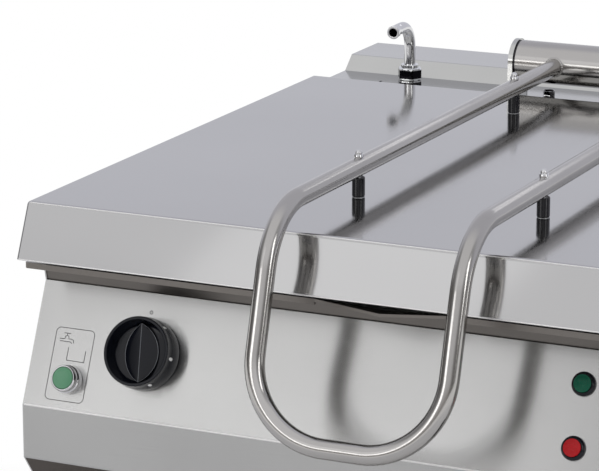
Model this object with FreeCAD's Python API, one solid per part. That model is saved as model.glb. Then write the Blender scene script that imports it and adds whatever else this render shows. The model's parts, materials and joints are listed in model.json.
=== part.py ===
import FreeCAD, Part
import math
import os
from FreeCAD import Vector

# A free-standing electric bratt pan: a wide, shallow cooking pan in a cabinet, under a balanced lid.
# All sizes are in millimetres. X runs to the right, Y to the back and Z up.
# The origin is on the floor, in the middle of the whole footprint.

# Cabinet
WIDTH = 800.0              # across the cabinet and the lid
DEPTH = 920.0              # from the nose of the control panel to the back
LID_TOP_Z = 900.0          # height of the closed lid above the floor
LEG_HEIGHT = 150.0         # floor to the underside of the cabinet
SHEET = 1.5                # cabinet sheet
BEND_R = 3.0               # outer radius of a folded edge
SLOPE = math.radians(24.2)  # lean of the lid's front skirt and of the control panel
SEAT_GAP = 0.3             # clearance between pieces that move past each other
HOLE_CLEARANCE = 0.3       # radial clearance of a screw in its hole
RUNNING_CLEARANCE = 0.05   # radial clearance of a shaft in its bush
TOOL_REACH = 50.0          # half length of a tool that cuts right through

# Lid
LID_DEPTH = 700.0
LID_SKIRT = 59.0
LID_SHEET = 2.0
LID_HEM = 10.0             # flange turned inwards along the lower edge of the skirt
LINER_SHEET = 1.0
LINER_SIDE_GAP = 34.0      # lid's side to the liner's wall
LINER_FRONT_GAP = 22.0
LINER_REAR_GAP = 16.0
STIFFENER_HEIGHT = 18.0
STIFFENER_TOP_WIDTH = 40.0
STIFFENER_FLANGE = 14.0
STIFFENER_SHEET = 1.5

# Handle of the lid
HANDLE_TUBE_D = 20.0
HANDLE_TUBE_WALL = 1.5
HANDLE_SPREAD = 201.6      # between the centres of its two bars
HANDLE_RISE = 32.8         # bar's centre above the lid, at the front knee
HANDLE_KNEE_OUT = 45.4     # knee in front of the lid's front edge
HANDLE_DROP = 221.0        # knee to the bottom of the loop, along the slope
HANDLE_LEAN = math.radians(16.7)
HANDLE_KNEE_R = 77.0
HANDLE_CORNER_R = 81.0
STANDOFF_D = 13.5
STANDOFF_FRONT = 159.0     # lid's front edge to the first pair of standoffs
STANDOFF_REAR = 602.0
STANDOFF_WASHER_D = 15.0
STANDOFF_WASHER = 1.0
STUD_D = 6.0
CAP_NUT_D = 10.0
CAP_NUT_SKIRT = 3.5
CAP_DOME_D = 7.6

# Hinge of the lid
HINGE_BEHIND_LID = 58.0    # lid's rear edge to the hinge axis
HINGE_RISE = 28.6          # hinge axis above the lid's top
HINGE_TUBE_D = 50.0
HINGE_TUBE_WALL = 3.0
HINGE_TUBE_LENGTH = 302.0
HINGE_SHAFT_D = 24.0
BUSH_FLANGE = 2.0
BUSH_LENGTH = 30.0
BRACKET_SHEET = 5.0
BRACKET_MARGIN = 1.5       # bracket's round top beyond the tube
BASE_PLATE = 4.0
BASE_PLATE_DEPTH = 62.0
BASE_PLATE_CORNER_R = 8.0
BRACKET_BOLT_D = 8.0
BRACKET_BOLT_SIDE = 112.0  # bolts of the base plate, from the middle
BRACKET_BOLT_FRONT = 9.0   # and in front of the hinge axis
SPRING_WIRE = 5.0
SPRING_TURNS = 6
SPRING_PITCH = 12.0
SPRING_D = 38.0            # outer diameter of the balance spring
SPRING_COLLAR = 14.0

# Rear of the top
LEDGE_DROP = 12.0          # ledge below the top of the lid
LEDGE_GAP = 5.0            # lid's rear edge to the ledge
UPSTAND_DEPTH = 105.0      # foot of the upstand to the back
UPSTAND_SLOPE_RUN = 20.5
UPSTAND_RISE = 17.0        # top of the upstand above the ledge
LEDGE_LIP = 25.0
LEDGE_SLOT_WIDTH = 3.0     # drain slot at the left end of the ledge
LEDGE_SLOT_LENGTH = 20.0
LEDGE_SLOT_FROM_SIDE = 67.0
LEDGE_SLOT_BACK = 46.0     # lid's rear edge to the slot's middle

# Pan
PAN_RIM_DROP = 62.0        # top of the pan's rim below the top of the lid
PAN_RIM_EDGE = 6.0         # turned-down edge of the rim
PAN_RIM_OVERHANG = 10.0    # rim in front of the lid's front edge
PAN_RIM_REAR_GAP = 6.0     # rim's rear edge in front of the lid's rear edge
PAN_SHEET = 3.0
PAN_FRONT_LAND = 72.0      # width of the rim's flat at the front
PAN_SIDE_LAND = 54.0
PAN_REAR_LAND = 30.0
PAN_WELL_DEPTH = 200.0
PAN_CORNER_R = 45.0
PAN_FLOOR_R = 18.0
SPOUT_HALF_WIDTH = 73.0
SPOUT_REACH = 9.0          # pouring lip in front of the rim
SPOUT_DIP = 4.2

# Heating under the pan
BASE_THICKNESS = 10.0      # steel plate that spreads the heat
BASE_INSET = 30.0
ELEMENT_D = 8.5
ELEMENT_COUNT = 5
ELEMENT_PITCH = 52.0       # between the two legs of one hairpin
ELEMENT_END_GAP = 40.0
CLAMP_BAR = 6.0
CLAMP_BAR_WIDTH = 20.0
INSULATION = 18.0
COVER_SHEET = 1.5
COVER_MARGIN = 2.0
COVER_CORNER_R = 22.0

# Tilting gear
PIVOT_BACK = 128.0         # lid's front edge to the pan's tilting axis
PIVOT_DROP = 175.0         # axis below the top of the lid
TRUNNION_D = 30.0
TRUNNION_FLANGE_D = 70.0
TRUNNION_FLANGE = 6.0
BEARING_WIDTH = 64.0
BEARING_HEIGHT = 60.0
BEARING_THICK = 26.0
BEARING_FOOT = 14.0
BEARING_WALL = 10.0        # block outside the bush or the spindle
BEARING_NECK_R = 3.0
BUSH_WALL = 3.0
WHEEL_FROM_SIDE = 110.0    # right side of the cabinet to the hand wheel's axis
WHEEL_DROP = 385.0         # its axis below the top of the lid
WHEEL_D = 160.0
WHEEL_RIM_D = 20.0
WHEEL_BACK_GAP = 20.0      # front cover to the back of the wheel's hub
WHEEL_HUB_D = 38.0
WHEEL_HUB = 26.0
WHEEL_WEB = 6.0
WHEEL_DISH = 12.0          # back of the hub to the back of the web at the rim
GRIP_D = 22.0
GRIP_PIN_D = 8.0
GRIP_PIN_HEAD = 3.0
GRIP_LENGTH = 36.0
SPINDLE_D = 20.0
SPINDLE_LENGTH = 560.0
SPINDLE_TIP_D = 14.0
SPINDLE_TIP = 18.0
NUT_BLOCK = 44.0
NUT_BACK = 300.0           # front cover to the nut's middle
LINK_SHEET = 6.0
LINK_PIN_D = 16.0
LINK_END_R = 14.0
LEVER_REACH = 60.0         # nut's middle to the lever's pin, and half the lever's foot
LEVER_DROP = 26.0          # heater cover to the lever's pin
LEVER_NOSE = 18.0          # half width of the lever below its pin
LEVER_NOSE_R = 12.0
PIN_END = 2.0              # end of a pin outside the link

# Control panel and front
PANEL_TOP_DROP = 91.7      # upper edge of the control panel below the top of the lid
PANEL_TOP_BACK = 35.1      # the same edge behind the lid's front edge
PANEL_RISE = 120.0         # height of the sloping face
NOSE_HEIGHT = 57.3         # upright face under it
UNDERCUT_BACK = 30.0
UNDERCUT_DOWN = 40.0
COVER_LAP = 20.0
APRON_LEAN = 5.0
APRON_TOP_GAP = 3.0

# Controls, as places on the sloping face: distance from one side and, with an S, from the upper edge
BUTTON_FROM_SIDE = 48.8    # left side of the cabinet to the push button
BUTTON_S = 100.1
KNOB_FROM_BUTTON = 81.4
KNOB_S = 63.6
LAMP_FROM_SIDE = 203.5     # right side of the cabinet to the lamps
LAMP_S = (34.0, 96.4)
LAMP_NAMES = ("green", "red")
BUTTON_BEZEL_D = 29.5
BUTTON_FRONT_D = 27.2      # bezel's front edge
BUTTON_CAP_D = 22.5
BUTTON_HOLE_D = 22.3
BUTTON_TRAVEL = 4.0
BUTTON_WALL = 1.8          # of the bezel
BUTTON_HEIGHT = 16.0       # bezel in front of the panel
BUTTON_THREAD = 10.0       # and behind it
BUTTON_PLUNGER = 2.0       # plunger behind the thread
BUTTON_PLUNGER_D = 6.0
BUTTON_DISH = 0.8          # hollow of the cap's face
BUTTON_LAND = 2.0          # flat edge round that hollow
SWITCH_BLOCK = 28.0
KNOB_D = 75.0
KNOB_SKIRT = 12.0          # upright lower part of its side
KNOB_HEIGHT = 26.0
KNOB_FRONT_D = 71.5
KNOB_RIM = 4.5             # width of the rim round the hollow face
KNOB_FLOOR = 10.0          # bottom of the hollow
KNOB_FLOOR_D = 56.0
KNOB_GRIP_WIDTH = 38.0
KNOB_GRIP_LENGTH = 61.0
KNOB_GRIP_EDGE = 11.5
KNOB_RIDGE = 16.0
KNOB_TURN = 7.0            # degrees from straight up, at zero
KNOB_SOCKET = 9.0
KNOB_SHAFT_D = 6.0
KNOB_SHAFT_TAIL = 6.0      # shaft behind the panel's face
LAMP_BEZEL_D = 24.0
LAMP_LENS_D = 16.0
LAMP_HOLE_D = 16.2
LAMP_RIM = 5.5             # bezel in front of the panel
LAMP_WALL = 1.5
LAMP_NECK = 8.0            # lamp behind the panel
LAMP_DOME = 3.0            # lens in front of the bezel
LAMP_HOLDER = 22.0
THERMOSTAT_DEPTH = 30.0
THERMOSTAT_SIDE = 44.0
THERMOSTAT_R = 3.0
THERMOSTAT_NECK = 4.0
THERMOSTAT_NECK_WALL = 2.0

# Water tap, on the left of the ledge
TAP_FROM_SIDE = 93.5
TAP_FROM_UPSTAND = 14.5
TAP_NUT_FLATS = 27.0
TAP_NUT_HEIGHT = 19.0
TAP_PIPE_D = 14.0
TAP_PIPE_WALL = 1.5
TAP_COLLAR = 4.0           # round collar on the nut
TAP_HEIGHT = 68.5          # ledge to the middle of the pipe at its highest point
TAP_REACH = 38.0
TAP_BEND_R = 27.0
TAP_NOSE_LEAN = math.radians(84.0)
TAP_NOSE = 15.0            # from the second bend's corner to the mouth
TAP_NOSE_R = 16.0
TAP_LIP = 6.0
TAP_TAIL = 34.0            # under the ledge
TAP_TAIL_NUT = 8.0
TAP_TAIL_WALL = 3.0
TAP_TAIL_SEAT = 4.0        # bottom of the tail to the end of the spout
SUPPLY_PIPE_D = 12.0
VALVE_Z = 330.0
VALVE_D = 36.0
VALVE_RISE = 22.0          # its axis to the joint of the supply pipe
COIL = 32.0                # square coil of the valve
COIL_LENGTH = 46.0
INLET_D = 26.44
INLET_LENGTH = 14.0
INLET_NECK_D = 22.0

# Feet
LEG_INSET_SIDE = 75.0
LEG_INSET_FRONT = 90.0
LEG_INSET_REAR = 75.0
LEG_SLEEVE_D = 50.0
LEG_SLEEVE = 95.0
FOOT_STEM_D = 40.0
FOOT_PAD_D = 56.0
FOOT_PAD = 12.0
FOOT_NECK = 4.0            # stem above the pad, thinner on every side
FOOT_COLLAR = 12.0         # full stem below the sleeve
FOOT_TRAVEL = 20.0         # left for screwing the foot in
LEG_PLATE = 90.0
LEG_PLATE_THICK = 4.0

# Frame and cabinet
FRAME_TUBE = 30.0
FRAME_WALL = 2.0
SIDE_SPACE = 8.0           # side panel's inner face to the frame
BACK_INSET = 24.0          # back panel in front of the cabinet's rear edge
TRAY_FLANGE = 30.0
SCREW_D = 5.0
SCREW_HEAD_D = 10.0
SCREW_HEAD = 2.8
SCREW_LENGTH = 9.0
GLAND_BORE_D = 18.0
GLAND_NUT_FLATS = 33.0
GLAND_FROM_SIDE = 100.0
GLAND_RISE = 65.0          # underside of the cabinet to the gland
GLAND_BODY_WALL = 3.0
GLAND_NUT = 5.0
GLAND_REACH = 18.0         # behind the back panel
TERMINAL_PITCH = 20.0
TERMINAL_COUNT = 5
TERMINAL_DEPTH = 32.0
TERMINAL_HEIGHT = 34.0
TERMINAL_GAP = 79.0        # back panel to the block
TERMINAL_FROM_GLAND = 40.0
CONTACTOR_WIDTH = 45.0
CONTACTOR_DEPTH = 80.0
CONTACTOR_HEIGHT = 55.0
CONTACTOR_HEAD = 29.0      # upper part, as deep as the width
CONTACTOR_PITCH = 60.0
CONTACTOR_GAP = 200.0      # back panel to the contactors
CONTACTOR_FROM_SIDE = 190.0

# Places worked out from those sizes
HALF = WIDTH / 2
TAN = math.tan(SLOPE)
HANDLE_R = HANDLE_TUBE_D / 2
NOSE_OUT = PANEL_RISE * TAN - PANEL_TOP_BACK
HANDLE_OUT = HANDLE_KNEE_OUT + HANDLE_DROP * math.sin(HANDLE_LEAN) + HANDLE_R - NOSE_OUT
NOSE_Y = HANDLE_OUT - (DEPTH + HANDLE_OUT) / 2
BACK_Y = NOSE_Y + DEPTH
LID_Y = NOSE_Y + NOSE_OUT
LID_REAR_Y = LID_Y + LID_DEPTH
HINGE_Y = LID_REAR_Y + HINGE_BEHIND_LID
HINGE_Z = LID_TOP_Z + HINGE_RISE
LEDGE_Z = LID_TOP_Z - LEDGE_DROP
UPSTAND_Y = BACK_Y - UPSTAND_DEPTH
RIM_Z = LID_TOP_Z - PAN_RIM_DROP
RIM_Y = LID_Y - PAN_RIM_OVERHANG
RIM_REAR_Y = LID_REAR_Y - PAN_RIM_REAR_GAP
WELL_Y = RIM_Y + PAN_FRONT_LAND
WELL_REAR_Y = RIM_REAR_Y - PAN_REAR_LAND
WELL_HALF = HALF - PAN_SIDE_LAND
WELL_FLOOR_Z = RIM_Z - PAN_WELL_DEPTH
PAN_UNDER_Z = WELL_FLOOR_Z - PAN_SHEET
BASE_UNDER_Z = PAN_UNDER_Z - BASE_THICKNESS
CLAMP_Z = BASE_UNDER_Z - ELEMENT_D - CLAMP_BAR
COVER_Z = CLAMP_Z - INSULATION - COVER_SHEET
PANEL_TOP_Z = LID_TOP_Z - PANEL_TOP_DROP
PANEL_Y = LID_Y + PANEL_TOP_BACK
NOSE_TOP_Z = PANEL_TOP_Z - PANEL_RISE
NOSE_LOW_Z = NOSE_TOP_Z - NOSE_HEIGHT
FRONT_Y = NOSE_Y + UNDERCUT_BACK
FRONT_TOP_Z = NOSE_LOW_Z - UNDERCUT_DOWN
BACK_PANEL_Y = BACK_Y - BACK_INSET
FRAME_X = HALF - SHEET - SIDE_SPACE
PIVOT_Y = LID_Y + PIVOT_BACK
PIVOT_Z = LID_TOP_Z - PIVOT_DROP
TAP_Y = UPSTAND_Y - TAP_FROM_UPSTAND
WHEEL_Z = LID_TOP_Z - WHEEL_DROP
WHEEL_SIDE = HALF - WHEEL_FROM_SIDE
TAP_SIDE = HALF - TAP_FROM_SIDE
GLAND_SIDE = HALF - GLAND_FROM_SIDE
GLAND_Z = LEG_HEIGHT + GLAND_RISE
BUTTON_X = BUTTON_FROM_SIDE - HALF
KNOB_X = BUTTON_X + KNOB_FROM_BUTTON
LAMP_X = HALF - LAMP_FROM_SIDE


def box(x0, x1, y0, y1, z0, z1):
    return Part.makeBox(x1 - x0, y1 - y0, z1 - z0, Vector(x0, y0, z0))


def rod(radius, start, end):
    """A round bar from one point to another."""
    line = end - start
    return Part.makeCylinder(radius, line.Length, start, line)


def ring(outer, inner, start, end):
    return rod(outer, start, end).cut(rod(inner, start, end))


def corner(before, at, after, radius):
    """The two tangent points and the middle of the arc that rounds one corner of a path."""
    back = (before - at).normalize()
    ahead = (after - at).normalize()
    turn = back.getAngle(ahead)
    reach = radius / math.tan(turn / 2)
    centre = at + (back + ahead).normalize() * (radius / math.sin(turn / 2))
    middle = centre + (at - centre).normalize() * radius
    return at + back * reach, middle, at + ahead * reach


def path(points, radii, closed=False):
    """Straight runs through the points, joined by tangent arcs of the given radii."""
    count = len(points)
    edges = []
    first = None
    last = None
    for i, point in enumerate(points):
        ends = not closed and i in (0, count - 1)
        if ends or radii[i] == 0:
            arrive, leave = point, point
        else:
            arrive, middle, leave = corner(points[i - 1], point, points[(i + 1) % count], radii[i])
        if last is None:
            first = arrive
        elif (arrive - last).Length > 1e-6:
            edges.append(Part.LineSegment(last, arrive).toShape())
        if (leave - arrive).Length > 1e-6:
            edges.append(Part.Arc(arrive, middle, leave).toShape())
        last = leave
    if closed and (first - last).Length > 1e-6:
        edges.append(Part.LineSegment(last, first).toShape())
    return Part.Wire(edges)


def profile_yz(points, x0, x1, radii=None):
    """A closed outline in Y and Z, carried from x0 to x1."""
    corners = [Vector(x0, y, z) for y, z in points]
    outline = path(corners, radii or [0] * len(points), closed=True)
    return Part.Face(outline).extrude(Vector(x1 - x0, 0, 0))


def profile_xy(points, z0, z1, radii=None):
    """A closed outline in X and Y, carried from z0 to z1."""
    corners = [Vector(x, y, z0) for x, y in points]
    outline = path(corners, radii or [0] * len(points), closed=True)
    return Part.Face(outline).extrude(Vector(0, 0, z1 - z0))


def folded_sheet(points, thickness, x0, x1):
    """A sheet folded along X: a line of points in Y and Z, thickened to the right of its direction."""
    line = [Vector(0, y, z) for y, z in points]
    inner = []
    for i, point in enumerate(line):
        normals = []
        if i > 0:
            run = (point - line[i - 1]).normalize()
            normals.append(Vector(0, run.z, -run.y))
        if i < len(line) - 1:
            run = (line[i + 1] - point).normalize()
            normals.append(Vector(0, run.z, -run.y))
        total = normals[0] + normals[-1]
        total.normalize()
        inner.append(point + total * (thickness / total.dot(normals[0])))
    outline = [(p.y, p.z) for p in line] + [(p.y, p.z) for p in reversed(inner)]
    radii = []
    for i in range(len(line)):
        radii.append(0 if i in (0, len(line) - 1) else BEND_R)
    for i in reversed(range(len(line))):
        if i in (0, len(line) - 1):
            radii.append(0)
            continue
        turn = (line[i] - line[i - 1]).cross(line[i + 1] - line[i]).x
        radii.append(BEND_R - thickness if turn < 0 else BEND_R + thickness)
    return profile_yz(outline, x0, x1, radii)


def rounded_box(x0, x1, y0, y1, z0, z1, side_r, floor_r):
    """A box with rounded upright corners and a rounded lower edge."""
    outline = [(x0, y0), (x1, y0), (x1, y1), (x0, y1)]
    block = profile_xy(outline, z0, z1, [side_r] * 4)
    low = [edge for edge in block.Edges if edge.BoundBox.ZMax < z0 + 1e-6]
    return block.makeFillet(floor_r, low)


def pipe(line, radius, wall=0.0):
    """A round pipe, or a bar where it has no wall, along a path."""
    start = line.OrderedVertexes[0].Point
    run = line.OrderedEdges[0].tangentAt(line.OrderedEdges[0].FirstParameter)
    if (line.OrderedEdges[0].valueAt(line.OrderedEdges[0].FirstParameter) - start).Length > 1e-6:
        run = run * -1
    outer = line.makePipeShell([Part.Wire(Part.makeCircle(radius, start, run))], True, True)
    if wall == 0:
        return outer
    inner = line.makePipeShell([Part.Wire(Part.makeCircle(radius - wall, start, run))], True, True)
    return outer.cut(inner)


def hexagon(flats, start, height, direction=Vector(0, 0, 1)):
    """A hexagonal nut's body, with its corners along X."""
    radius = flats / math.sqrt(3)
    turns = [math.radians(60 * i) for i in range(6)]
    corners = [Vector(radius * math.cos(a), radius * math.sin(a), 0) for a in turns]
    nut = Part.Face(Part.makePolygon(corners + corners[:1])).extrude(Vector(0, 0, height))
    chamfer = Part.makeCone(radius + height, radius * 0.93, height + radius * 0.07)
    nut = nut.common(chamfer)
    nut.Placement = FreeCAD.Placement(start, FreeCAD.Rotation(Vector(0, 0, 1), direction))
    return nut


def turned(points, radii=None):
    """A turned piece about Z: half of its outline as radius and height."""
    outline = path([Vector(r, 0, z) for r, z in points], radii or [0] * len(points), closed=True)
    return Part.Face(outline).revolve(Vector(0, 0, 0), Vector(0, 0, 1), 360)


def on_panel(shape, x, s):
    """Move a shape from its own frame, where Z points out, to a place on the sloping face."""
    place = Vector(x, PANEL_Y - s * math.sin(SLOPE), PANEL_TOP_Z - s * math.cos(SLOPE))
    turn = FreeCAD.Rotation(Vector(1, 0, 0), 90 - math.degrees(SLOPE))
    moved = shape.copy()
    moved.Placement = FreeCAD.Placement(place, turn).multiply(shape.Placement)
    return moved


def group(solids):
    return Part.makeCompound(solids)


def bar_height(y):
    """Height of the handle's bar at a distance from the front."""
    knee_y = LID_Y - HANDLE_KNEE_OUT
    share = (y - knee_y) / (HINGE_Y - knee_y)
    return LID_TOP_Z + HANDLE_RISE + (HINGE_RISE - HANDLE_RISE) * share


def standoff_places():
    for side in (-1, 1):
        for back in (STANDOFF_FRONT, STANDOFF_REAR):
            yield side * HANDLE_SPREAD / 2, LID_Y + back


def skirt_y(z, inset=0.0):
    """Front face of the lid's sloping skirt at one height, moved inwards by inset."""
    return LID_Y - (LID_TOP_Z - z) * TAN + inset / math.cos(SLOPE)


def lid_block(inset, z0, z1, radius):
    """The lid's outline as a solid block between two heights, moved inwards on every side."""
    x = HALF - inset
    rear = LID_REAR_Y - inset
    points = [(skirt_y(z0, inset), z0), (skirt_y(z1, inset), z1), (rear, z1), (rear, z0)]
    block = profile_yz(points, -x, x)
    kept = [e for e in block.Edges if e.BoundBox.ZMax > z0 + 1e-6]
    return block.makeFillet(radius, kept) if radius > 0 else block


def make_lid_shell():
    """The lid's outer skin: a flat top, three upright skirts, a sloping front and a hem."""
    low = LID_TOP_Z - LID_SKIRT
    shell = lid_block(0, low, LID_TOP_Z, BEND_R)
    hollow = lid_block(LID_SHEET, low + LID_SHEET, LID_TOP_Z - LID_SHEET, BEND_R - LID_SHEET)
    mouth = lid_block(LID_SHEET + LID_HEM, low - 1, low + 2 * LID_SHEET, 0)
    shell = shell.cut(hollow).cut(mouth)
    for x, y in standoff_places():
        hole = rod(STUD_D / 2 + HOLE_CLEARANCE, Vector(x, y, LID_TOP_Z - 5), Vector(x, y, LID_TOP_Z + 1))
        shell = shell.cut(hole)
    return shell


def make_lid_stiffeners():
    """Two channels along the lid, under the handle's bars, that carry its studs and the liner."""
    top = LID_TOP_Z - LID_SHEET
    low = top - STIFFENER_HEIGHT
    half = STIFFENER_TOP_WIDTH / 2
    t = STIFFENER_SHEET
    wide = half + STIFFENER_FLANGE
    solids = []
    for side in (-1, 1):
        x = side * HANDLE_SPREAD / 2
        outline = [(-wide, low), (-half + t, low), (-half + t, top - t), (half - t, top - t), (half - t, low),
                   (wide, low), (wide, low + t), (half, low + t), (half, top), (-half, top),
                   (-half, low + t), (-wide, low + t)]
        y0 = LID_Y + LINER_FRONT_GAP
        y1 = LID_REAR_Y - LINER_REAR_GAP
        corners = [Vector(x + u, y0, v) for u, v in outline]
        channel = Part.Face(path(corners, [0] * 12, closed=True)).extrude(Vector(0, y1 - y0, 0))
        for back in (STANDOFF_FRONT, STANDOFF_REAR):
            y = LID_Y + back
            hole = rod(STUD_D / 2 + HOLE_CLEARANCE, Vector(x, y, top - 4), Vector(x, y, top + 1))
            channel = channel.cut(hole)
        solids.append(channel)
    return group(solids)


def make_lid_liner():
    """The lid's inner skin: a shallow tray turned upside down over the pan."""
    top = LID_TOP_Z - LID_SHEET - STIFFENER_HEIGHT
    low = LID_TOP_Z - LID_SKIRT + LID_SHEET
    x = HALF - LINER_SIDE_GAP
    y0 = LID_Y + LINER_FRONT_GAP
    y1 = LID_REAR_Y - LINER_REAR_GAP
    t = LINER_SHEET
    outer = profile_xy([(-x, y0), (x, y0), (x, y1), (-x, y1)], low, top, [PAN_CORNER_R] * 4)
    inner = profile_xy([(t - x, y0 + t), (x - t, y0 + t), (x - t, y1 - t), (t - x, y1 - t)],
                       low - 1, top - t, [PAN_CORNER_R - t] * 4)
    return outer.cut(inner)


def handle_line():
    """Centre line of the handle: back along the left bar, round the loop and back along the right."""
    knee_y = LID_Y - HANDLE_KNEE_OUT
    knee_z = LID_TOP_Z + HANDLE_RISE
    loop_y = knee_y - HANDLE_DROP * math.sin(HANDLE_LEAN)
    loop_z = knee_z - HANDLE_DROP * math.cos(HANDLE_LEAN)
    x = HANDLE_SPREAD / 2
    points = [Vector(-x, HINGE_Y, HINGE_Z), Vector(-x, knee_y, knee_z), Vector(-x, loop_y, loop_z),
              Vector(x, loop_y, loop_z), Vector(x, knee_y, knee_z), Vector(x, HINGE_Y, HINGE_Z)]
    radii = [0, HANDLE_KNEE_R, HANDLE_CORNER_R, HANDLE_CORNER_R, HANDLE_KNEE_R, 0]
    return path(points, radii)


def handle_core():
    return pipe(handle_line(), HANDLE_R)


def make_lid_handle():
    """One bent tube, notched at both ends to sit on the hinge tube."""
    handle = pipe(handle_line(), HANDLE_R, HANDLE_TUBE_WALL)
    notch = rod(HINGE_TUBE_D / 2, Vector(-HALF, HINGE_Y, HINGE_Z), Vector(HALF, HINGE_Y, HINGE_Z))
    handle = handle.cut(notch)
    for x, y in standoff_places():
        z = bar_height(y)
        through = Vector(0, 0, HANDLE_TUBE_D)
        middle = Vector(x, y, z)
        handle = handle.cut(rod(STUD_D / 2 + HOLE_CLEARANCE, middle - through, middle + through))
    return handle


def make_standoffs(core):
    """Black sleeves between the lid and the bars, shaped to the bar at their upper end."""
    solids = []
    for x, y in standoff_places():
        foot = Vector(x, y, LID_TOP_Z + STANDOFF_WASHER)
        sleeve = ring(STANDOFF_D / 2, STUD_D / 2 + HOLE_CLEARANCE, foot, Vector(x, y, bar_height(y)))
        solids.append(sleeve.cut(core))
    return group(solids)


def make_handle_studs():
    """Studs through bar, sleeve, lid and stiffener, with a nut under the stiffener's web."""
    solids = []
    for x, y in standoff_places():
        low = LID_TOP_Z - LID_SHEET - STIFFENER_SHEET
        high = bar_height(y) + HANDLE_R + CAP_NUT_SKIRT / 2
        stud = rod(STUD_D / 2, Vector(x, y, low - 7), Vector(x, y, high))
        nut = hexagon(STUD_D * 5 / 3, Vector(x, y, low - STUD_D * 5 / 6), STUD_D * 5 / 6)
        solids.append(stud.fuse(nut).removeSplitter())
    return group(solids)


def make_nuts_and_washers(core):
    """Domed nuts on top of the bars, seated on the round of the tube, and washers under the sleeves."""
    r = CAP_NUT_D / 2
    dome = CAP_DOME_D / 2
    solids = []
    for x, y in standoff_places():
        high = CAP_NUT_SKIRT
        outline = [(0, -r), (r, -r), (r, high - 1), (dome, high), (dome, high + 1.5),
                   (dome * 0.6, high + dome + 0.5), (0, high + dome + 1)]
        nut = turned(outline)
        nut.translate(Vector(x, y, bar_height(y) + HANDLE_R))
        thread = rod(STUD_D / 2, Vector(x, y, 0), Vector(x, y, bar_height(y) + HANDLE_R + high / 2))
        solids.append(nut.cut(core).cut(thread))
        low = Vector(x, y, LID_TOP_Z)
        high = Vector(x, y, LID_TOP_Z + STANDOFF_WASHER)
        solids.append(ring(STANDOFF_WASHER_D / 2, STUD_D / 2 + HOLE_CLEARANCE, low, high))
    return group(solids)


def make_hinge_tube():
    half = HINGE_TUBE_LENGTH / 2
    left = Vector(-half, HINGE_Y, HINGE_Z)
    right = Vector(half, HINGE_Y, HINGE_Z)
    return ring(HINGE_TUBE_D / 2, HINGE_TUBE_D / 2 - HINGE_TUBE_WALL, left, right)


def hinge_bush(side):
    """A black flanged bush in one end of the hinge tube."""
    half = HINGE_TUBE_LENGTH / 2
    inside = Vector(side * (half - BUSH_LENGTH), HINGE_Y, HINGE_Z)
    end = Vector(side * half, HINGE_Y, HINGE_Z)
    outside = Vector(side * (half + BUSH_FLANGE), HINGE_Y, HINGE_Z)
    bore = HINGE_SHAFT_D / 2 + RUNNING_CLEARANCE
    sleeve = ring(HINGE_TUBE_D / 2 - HINGE_TUBE_WALL, bore, inside, end)
    flange = ring(HINGE_TUBE_D / 2, bore, end, outside)
    return sleeve.fuse(flange).removeSplitter()


def bracket_x():
    """Inner face of a hinge bracket, measured from the middle."""
    return HINGE_TUBE_LENGTH / 2 + BUSH_FLANGE + SEAT_GAP


def make_hinge_shaft():
    """The fixed shaft on which the tube turns, with the collar that holds the balance spring's end."""
    x = bracket_x() + BRACKET_SHEET
    shaft = rod(HINGE_SHAFT_D / 2, Vector(-x, HINGE_Y, HINGE_Z), Vector(x, HINGE_Y, HINGE_Z))
    start = SPRING_TURNS * SPRING_PITCH / 2 + SPRING_WIRE / 2
    end = start + SPRING_COLLAR
    collar = rod(SPRING_D / 2, Vector(start, HINGE_Y, HINGE_Z), Vector(end, HINGE_Y, HINGE_Z))
    return shaft.fuse(collar).removeSplitter()


def bracket_cheek(side):
    """An upright plate with a round top that holds one end of the shaft."""
    x0 = side * bracket_x()
    x1 = side * (bracket_x() + BRACKET_SHEET)
    r = HINGE_TUBE_D / 2 + BRACKET_MARGIN
    foot = LEDGE_Z + BASE_PLATE
    top = HINGE_Z + r
    points = [(HINGE_Y - r, foot), (HINGE_Y + r, foot), (HINGE_Y + r, top), (HINGE_Y - r, top)]
    plate = profile_yz(points, x0, x1, [0, 0, r - 0.01, r - 0.01])
    inner = Vector(x0 - side, HINGE_Y, HINGE_Z)
    outer = Vector(x1 + side, HINGE_Y, HINGE_Z)
    return plate.cut(rod(HINGE_SHAFT_D / 2, inner, outer))


def bracket_bolt_places():
    for side in (-1, 1):
        yield side * BRACKET_BOLT_SIDE, HINGE_Y - BRACKET_BOLT_FRONT


def make_hinge_bracket():
    """A flat bar bolted to the ledge, with a cheek welded on at each end."""
    x = bracket_x() + BRACKET_SHEET + BRACKET_MARGIN
    half = BASE_PLATE_DEPTH / 2
    outline = [(-x, HINGE_Y - half), (x, HINGE_Y - half), (x, HINGE_Y + half), (-x, HINGE_Y + half)]
    plate = profile_xy(outline, LEDGE_Z, LEDGE_Z + BASE_PLATE, [BASE_PLATE_CORNER_R] * 4)
    for px, py in bracket_bolt_places():
        hole = rod(BRACKET_BOLT_D / 2 + HOLE_CLEARANCE, Vector(px, py, LEDGE_Z - 1),
                   Vector(px, py, LEDGE_Z + BASE_PLATE + 1))
        plate = plate.cut(hole)
    return plate.fuse([bracket_cheek(-1), bracket_cheek(1)]).removeSplitter()


def make_hinge_bolts():
    """Hexagon bolts through the base plate and the ledge, each with a nut below."""
    solids = []
    head = BRACKET_BOLT_D * 0.65
    for x, y in bracket_bolt_places():
        top = LEDGE_Z + BASE_PLATE
        low = LEDGE_Z - SHEET - head
        shank = rod(BRACKET_BOLT_D / 2, Vector(x, y, low - 3), Vector(x, y, top))
        upper = hexagon(BRACKET_BOLT_D * 13 / 8, Vector(x, y, top), head)
        lower = hexagon(BRACKET_BOLT_D * 13 / 8, Vector(x, y, low), head)
        solids.append(shank.fuse([upper, lower]).removeSplitter())
    return group(solids)


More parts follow.
